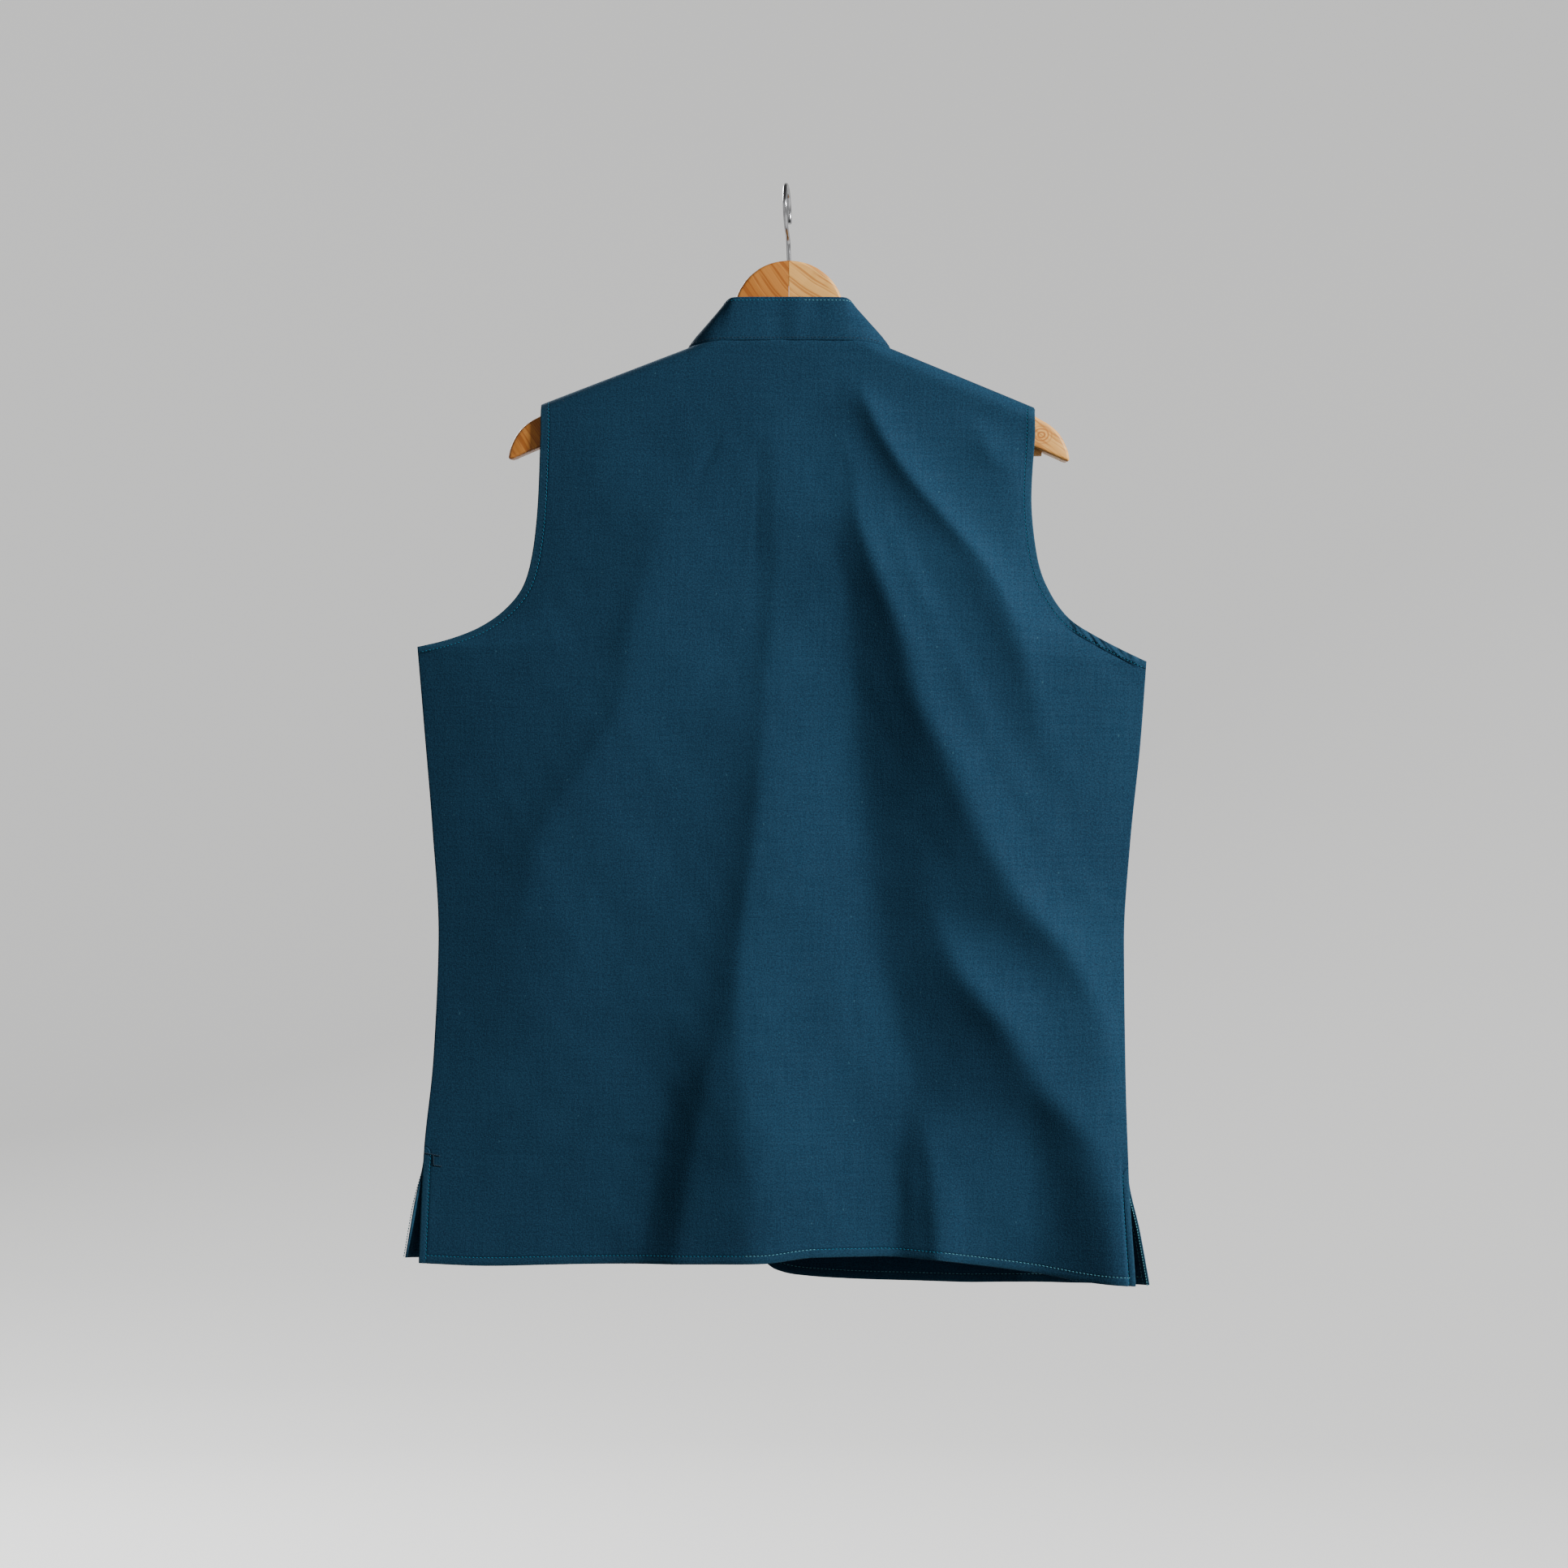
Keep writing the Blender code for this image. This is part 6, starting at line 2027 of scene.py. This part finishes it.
@dataclass
class Buttons:
    """The five buttons down the front, each sewn on through four holes, and the buttonholes behind them."""

    finish: ResinFinish = RESIN
    heights: tuple[float, ...] = (-240.0, -338.0, -436.0, -534.0, -632.0)
    radius: float = 9.0
    depth: float = 3.2
    rim: float = 1.5
    dish: float = 0.9
    hole: float = 0.85
    hole_out: float = 1.55
    slot_length: float = 22.0
    slot_end: float = 3.0

    def button(self) -> bpy.types.Object:
        """Turns one button flat at the origin, its face towards +Z, and drills its holes."""
        Tool.clear()
        bpy.ops.mesh.primitive_cylinder_add(
            vertices=56,
            radius=self.radius * MM,
            depth=self.depth * MM,
            location=(0.0, 0.0, self.depth * MM / 2),
        )
        obj = bpy.context.object
        bpy.ops.object.transform_apply(location=True, rotation=True, scale=True)
        Tool.choose(obj, "FACE", lambda face: face.normal.z > 0.9)
        bpy.ops.mesh.inset(thickness=self.rim * MM)
        bpy.ops.mesh.inset(thickness=0.8 * MM)
        bpy.ops.transform.translate(value=(0.0, 0.0, -self.dish * MM))
        top = self.depth * MM
        Tool.choose(
            obj,
            "EDGE",
            lambda edge: all(
                abs(math.hypot(vertex.co.x, vertex.co.y) - self.radius * MM) < 0.0001 for vertex in edge.verts
            )
            and abs(edge.verts[0].co.z - edge.verts[1].co.z) < 0.0001,
        )
        bpy.ops.mesh.bevel(offset=0.0008, segments=4)
        Tool.choose(
            obj,
            "EDGE",
            lambda edge: all(
                abs(math.hypot(vertex.co.x, vertex.co.y) - (self.radius - self.rim) * MM) < 0.0001
                and abs(vertex.co.z - top) < 0.0001
                for vertex in edge.verts
            ),
        )
        bpy.ops.mesh.bevel(offset=0.0004, segments=3)
        out = self.hole_out
        for across, up in ((-out, -out), (-out, out), (out, -out), (out, out)):
            Tool.clear()
            bpy.ops.mesh.primitive_cylinder_add(
                vertices=20, radius=self.hole * MM, depth=0.01, location=(across * MM, up * MM, 0.0)
            )
            drill = bpy.context.object
            Tool.apply(obj, "BOOLEAN", operation="DIFFERENCE", object=drill, solver="EXACT")
            Tool.take(drill)
            bpy.ops.object.delete()
        Tool.settle(obj)
        return obj

    def threads(self) -> bpy.types.Object:
        """Lays two bars of sewing thread across one button's holes."""
        Tool.clear()
        bars = []
        out, level = self.hole_out, (self.depth - self.dish) * MM
        for up in (-out, out):
            for shift in (-0.22, 0.22):
                bpy.ops.curve.primitive_bezier_curve_add(enter_editmode=False)
                obj = bpy.context.object
                data = obj.data
                data.bevel_depth = 0.0003
                data.bevel_resolution = 2
                data.use_fill_caps = True
                points = data.splines[0].bezier_points
                data.splines[0].bezier_points.add(2)
                shape = ((-out, -1.6), (-0.6 * out, 0.32), (0.6 * out, 0.32), (out, -1.6))
                for point, (across, lift) in zip(points, shape):
                    point.co = (across * MM, (up + shift) * MM, level + lift * MM)
                    point.handle_left_type = point.handle_right_type = "AUTO"
                bpy.ops.object.convert(target="MESH")
                bars.append(bpy.context.object)
                Tool.clear()
        for bar in bars:
            bar.select_set(True)
        bpy.context.view_layer.objects.active = bars[0]
        bpy.ops.object.join()
        joined = bpy.context.object
        Tool.settle(joined, 60.0)
        return joined

    def buttonhole(self) -> bpy.types.Object:
        """Sews one buttonhole flat at the origin: a long ring of thread with a bar at its inner end."""
        Tool.clear()
        bpy.ops.mesh.primitive_torus_add(
            major_segments=72, minor_segments=10, major_radius=1.35 * MM, minor_radius=0.62 * MM
        )
        obj = bpy.context.object
        half = self.slot_length / 2 - self.slot_end / 2
        Tool.choose(obj, "VERT", lambda vertex: vertex.co.x > 0.00001)
        bpy.ops.transform.translate(value=(half * MM, 0.0, 0.0))
        Tool.choose(obj, "VERT", lambda vertex: vertex.co.x < -0.00001)
        bpy.ops.transform.translate(value=(-half * MM, 0.0, 0.0))
        Tool.choose(obj, "EDGE", lambda edge: edge.calc_length() > 5 * MM)
        bpy.ops.mesh.subdivide(number_cuts=40)
        Tool.settle(obj, 60.0)
        return obj

    def copy(self, obj: bpy.types.Object) -> bpy.types.Object:
        """Returns a copy of a piece with its own mesh."""
        Tool.take(obj)
        bpy.ops.object.duplicate(linked=False)
        return bpy.context.object

    def build(self, thread: bpy.types.Material) -> None:
        """Puts a button and its buttonhole at each solid button's place.

        Args:
            thread: The sewing thread's material.
        """
        material = self.finish.material()
        models = (self.button(), self.threads(), self.buttonhole())
        for number, height in enumerate(self.heights, start=1):
            name = f"button_{number}"
            turn = (math.radians(-90) - self.lean_at(height), 0.0, 0.0)
            for model, suffix, finish, slot in (
                (models[0], "turned", material, "button"),
                (models[1], "thread", thread, "cloth"),
                (models[2], "hole", thread, "cloth"),
            ):
                piece = self.copy(model)
                piece.rotation_euler = turn
                base = Vector((CENTRE_X * MM, self.face_at(height), height * MM))
                if suffix == "hole":
                    along = -self.slot_length / 2 * MM + self.slot_end * MM
                    piece.location = base + Vector((along, 0.0001, 0.0))
                else:
                    piece.location = base + Vector((0.0, 0.0004, 0.0))
                Tool.settle(piece, 40.0)
                Tool.dress(piece, f"{name}_{suffix}", finish, slot)
                if suffix == "turned":
                    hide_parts(name)
        for model in models:
            Tool.take(model)
            bpy.ops.object.delete()

    def centre_line(self) -> Array:
        """Returns the left front's outer face down its centre."""
        levels = np.linspace(HEM, YOKE, 400)
        return front_points(-1, np.full_like(levels, 2.0), levels)

    def face_at(self, height: float) -> float:
        """Returns the cloth's depth in metres on the centre line at a height in millimetres."""
        line = self.centre_line()
        return float(np.interp(height, line[:, 2], line[:, 1])) * MM

    def lean_at(self, height: float) -> float:
        """Returns the cloth's lean on the centre line at a height in millimetres."""
        line = self.centre_line()
        above = float(np.interp(height + self.radius, line[:, 2], line[:, 1]))
        below = float(np.interp(height - self.radius, line[:, 2], line[:, 1]))
        return math.atan2(above - below, 2 * self.radius)


@dataclass
class Studio:
    """A pale floor that curves up all round, soft lights and the camera."""

    floor_z: float = -1.7
    flat_radius: float = 5.5
    curve_radius: float = 3.5
    wall_top: float = 7.0
    distance: float = 4.0
    camera_at: tuple[float, float] = (-0.0019, -0.4704)
    lens: float = 116.5
    floor_glow: float = 0.34

    def build(self) -> None:
        """Builds the whole studio."""
        self.floor()
        self.lights()
        self.camera()

    def floor(self) -> None:
        """Spins the floor's profile round the middle."""
        profile = [(0.0, self.floor_z), (self.flat_radius, self.floor_z)]
        for degrees in range(10, 91, 10):
            angle = math.radians(degrees)
            profile.append(
                (
                    self.flat_radius + self.curve_radius * math.sin(angle),
                    self.floor_z + self.curve_radius * (1 - math.cos(angle)),
                )
            )
        profile.append((self.flat_radius + self.curve_radius, self.wall_top))
        sides = 96
        points, faces = [], []
        for radius, height in profile[1:]:
            for number in range(sides):
                angle = 2 * math.pi * number / sides
                points.append((radius * math.cos(angle), radius * math.sin(angle), height))
        for ring in range(len(profile) - 2):
            for number in range(sides):
                following = (number + 1) % sides
                a, b = ring * sides + number, ring * sides + following
                faces.append((b, a, a + sides, b + sides))
        faces.append(tuple(range(sides)))
        mesh = bpy.data.meshes.new("studio_floor")
        mesh.from_pydata(points, [], faces)
        mesh.shade_smooth()
        obj = bpy.data.objects.new("studio_floor", mesh)
        bpy.context.collection.objects.link(obj)
        graph = Graph("studio_paper")
        graph.put(graph.shader, "Base Color", (0.80, 0.80, 0.79, 1.0))
        graph.put(graph.shader, "Roughness", 0.95)
        graph.put(graph.shader, "Emission Color", (1.0, 1.0, 0.99, 1.0))
        graph.put(graph.shader, "Emission Strength", self.floor_glow)
        mesh.materials.append(graph.material)
        obj.visible_diffuse = False

    def light(
        self, name: str, place: tuple[float, float, float], size: float, power: float, aim_z: float
    ) -> None:
        """Adds a square light that points at the jacket.

        Args:
            name: The light's name.
            place: Where it stands.
            size: Its side.
            power: Its power in watts.
            aim_z: Height that it points at.
        """
        data = bpy.data.lights.new(name, "AREA")
        data.size = size
        data.energy = power
        obj = bpy.data.objects.new(name, data)
        bpy.context.collection.objects.link(obj)
        obj.location = place
        aim = Vector((0.0, 0.0, aim_z)) - Vector(place)
        obj.rotation_euler = aim.to_track_quat("-Z", "Y").to_euler()

    def lights(self) -> None:
        """Adds the key from the right, a weak fill from the left and one behind for the hidden side."""
        self.light("key_light", (4.9, -2.6, 2.1), 0.9, 900.0, -0.40)
        self.light("fill_light", (-4.6, -3.0, 0.6), 2.4, 24.0, -0.45)
        self.light("back_light", (-3.0, 4.8, 1.8), 1.6, 420.0, -0.45)
        world = bpy.data.worlds.new("studio_world")
        world.use_nodes = True
        background = world.node_tree.nodes["Background"]
        background.inputs["Color"].default_value = (1.0, 1.0, 1.0, 1.0)
        background.inputs["Strength"].default_value = 0.16
        bpy.context.scene.world = world

    def camera(self) -> None:
        """Adds the camera, level with the jacket's middle."""
        data = bpy.data.cameras.new("camera")
        data.lens = self.lens
        data.sensor_width = 36.0
        data.clip_end = 60.0
        obj = bpy.data.objects.new("camera", data)
        bpy.context.collection.objects.link(obj)
        obj.location = (self.camera_at[0], -self.distance, self.camera_at[1])
        obj.rotation_euler = (math.radians(90), 0.0, 0.0)
        bpy.context.scene.camera = obj


def main() -> None:
    """Builds the jacket, its hanger and the studio in order, and notes the sizes."""
    logging.basicConfig(level=logging.INFO, format="%(name)s: %(message)s")
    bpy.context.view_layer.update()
    cloth = CLOTH.material()
    thread = THREAD.material()
    pale, shaded = PALE_THREAD.material(), SHADED_THREAD.material()
    for sheet in (Back(), Front(-1), Front(1), Collar()):
        obj = sheet.build(cloth, thread, pale, shaded)
        LOG.info("%s: %d faces", obj.name, len(obj.data.polygons))
    Hanger().build()
    LOG.info("hanger dressed")
    Buttons().build(thread)
    LOG.info("buttons dressed")
    Studio().build()
    LOG.info("studio built")


if __name__ == "__main__":
    main()
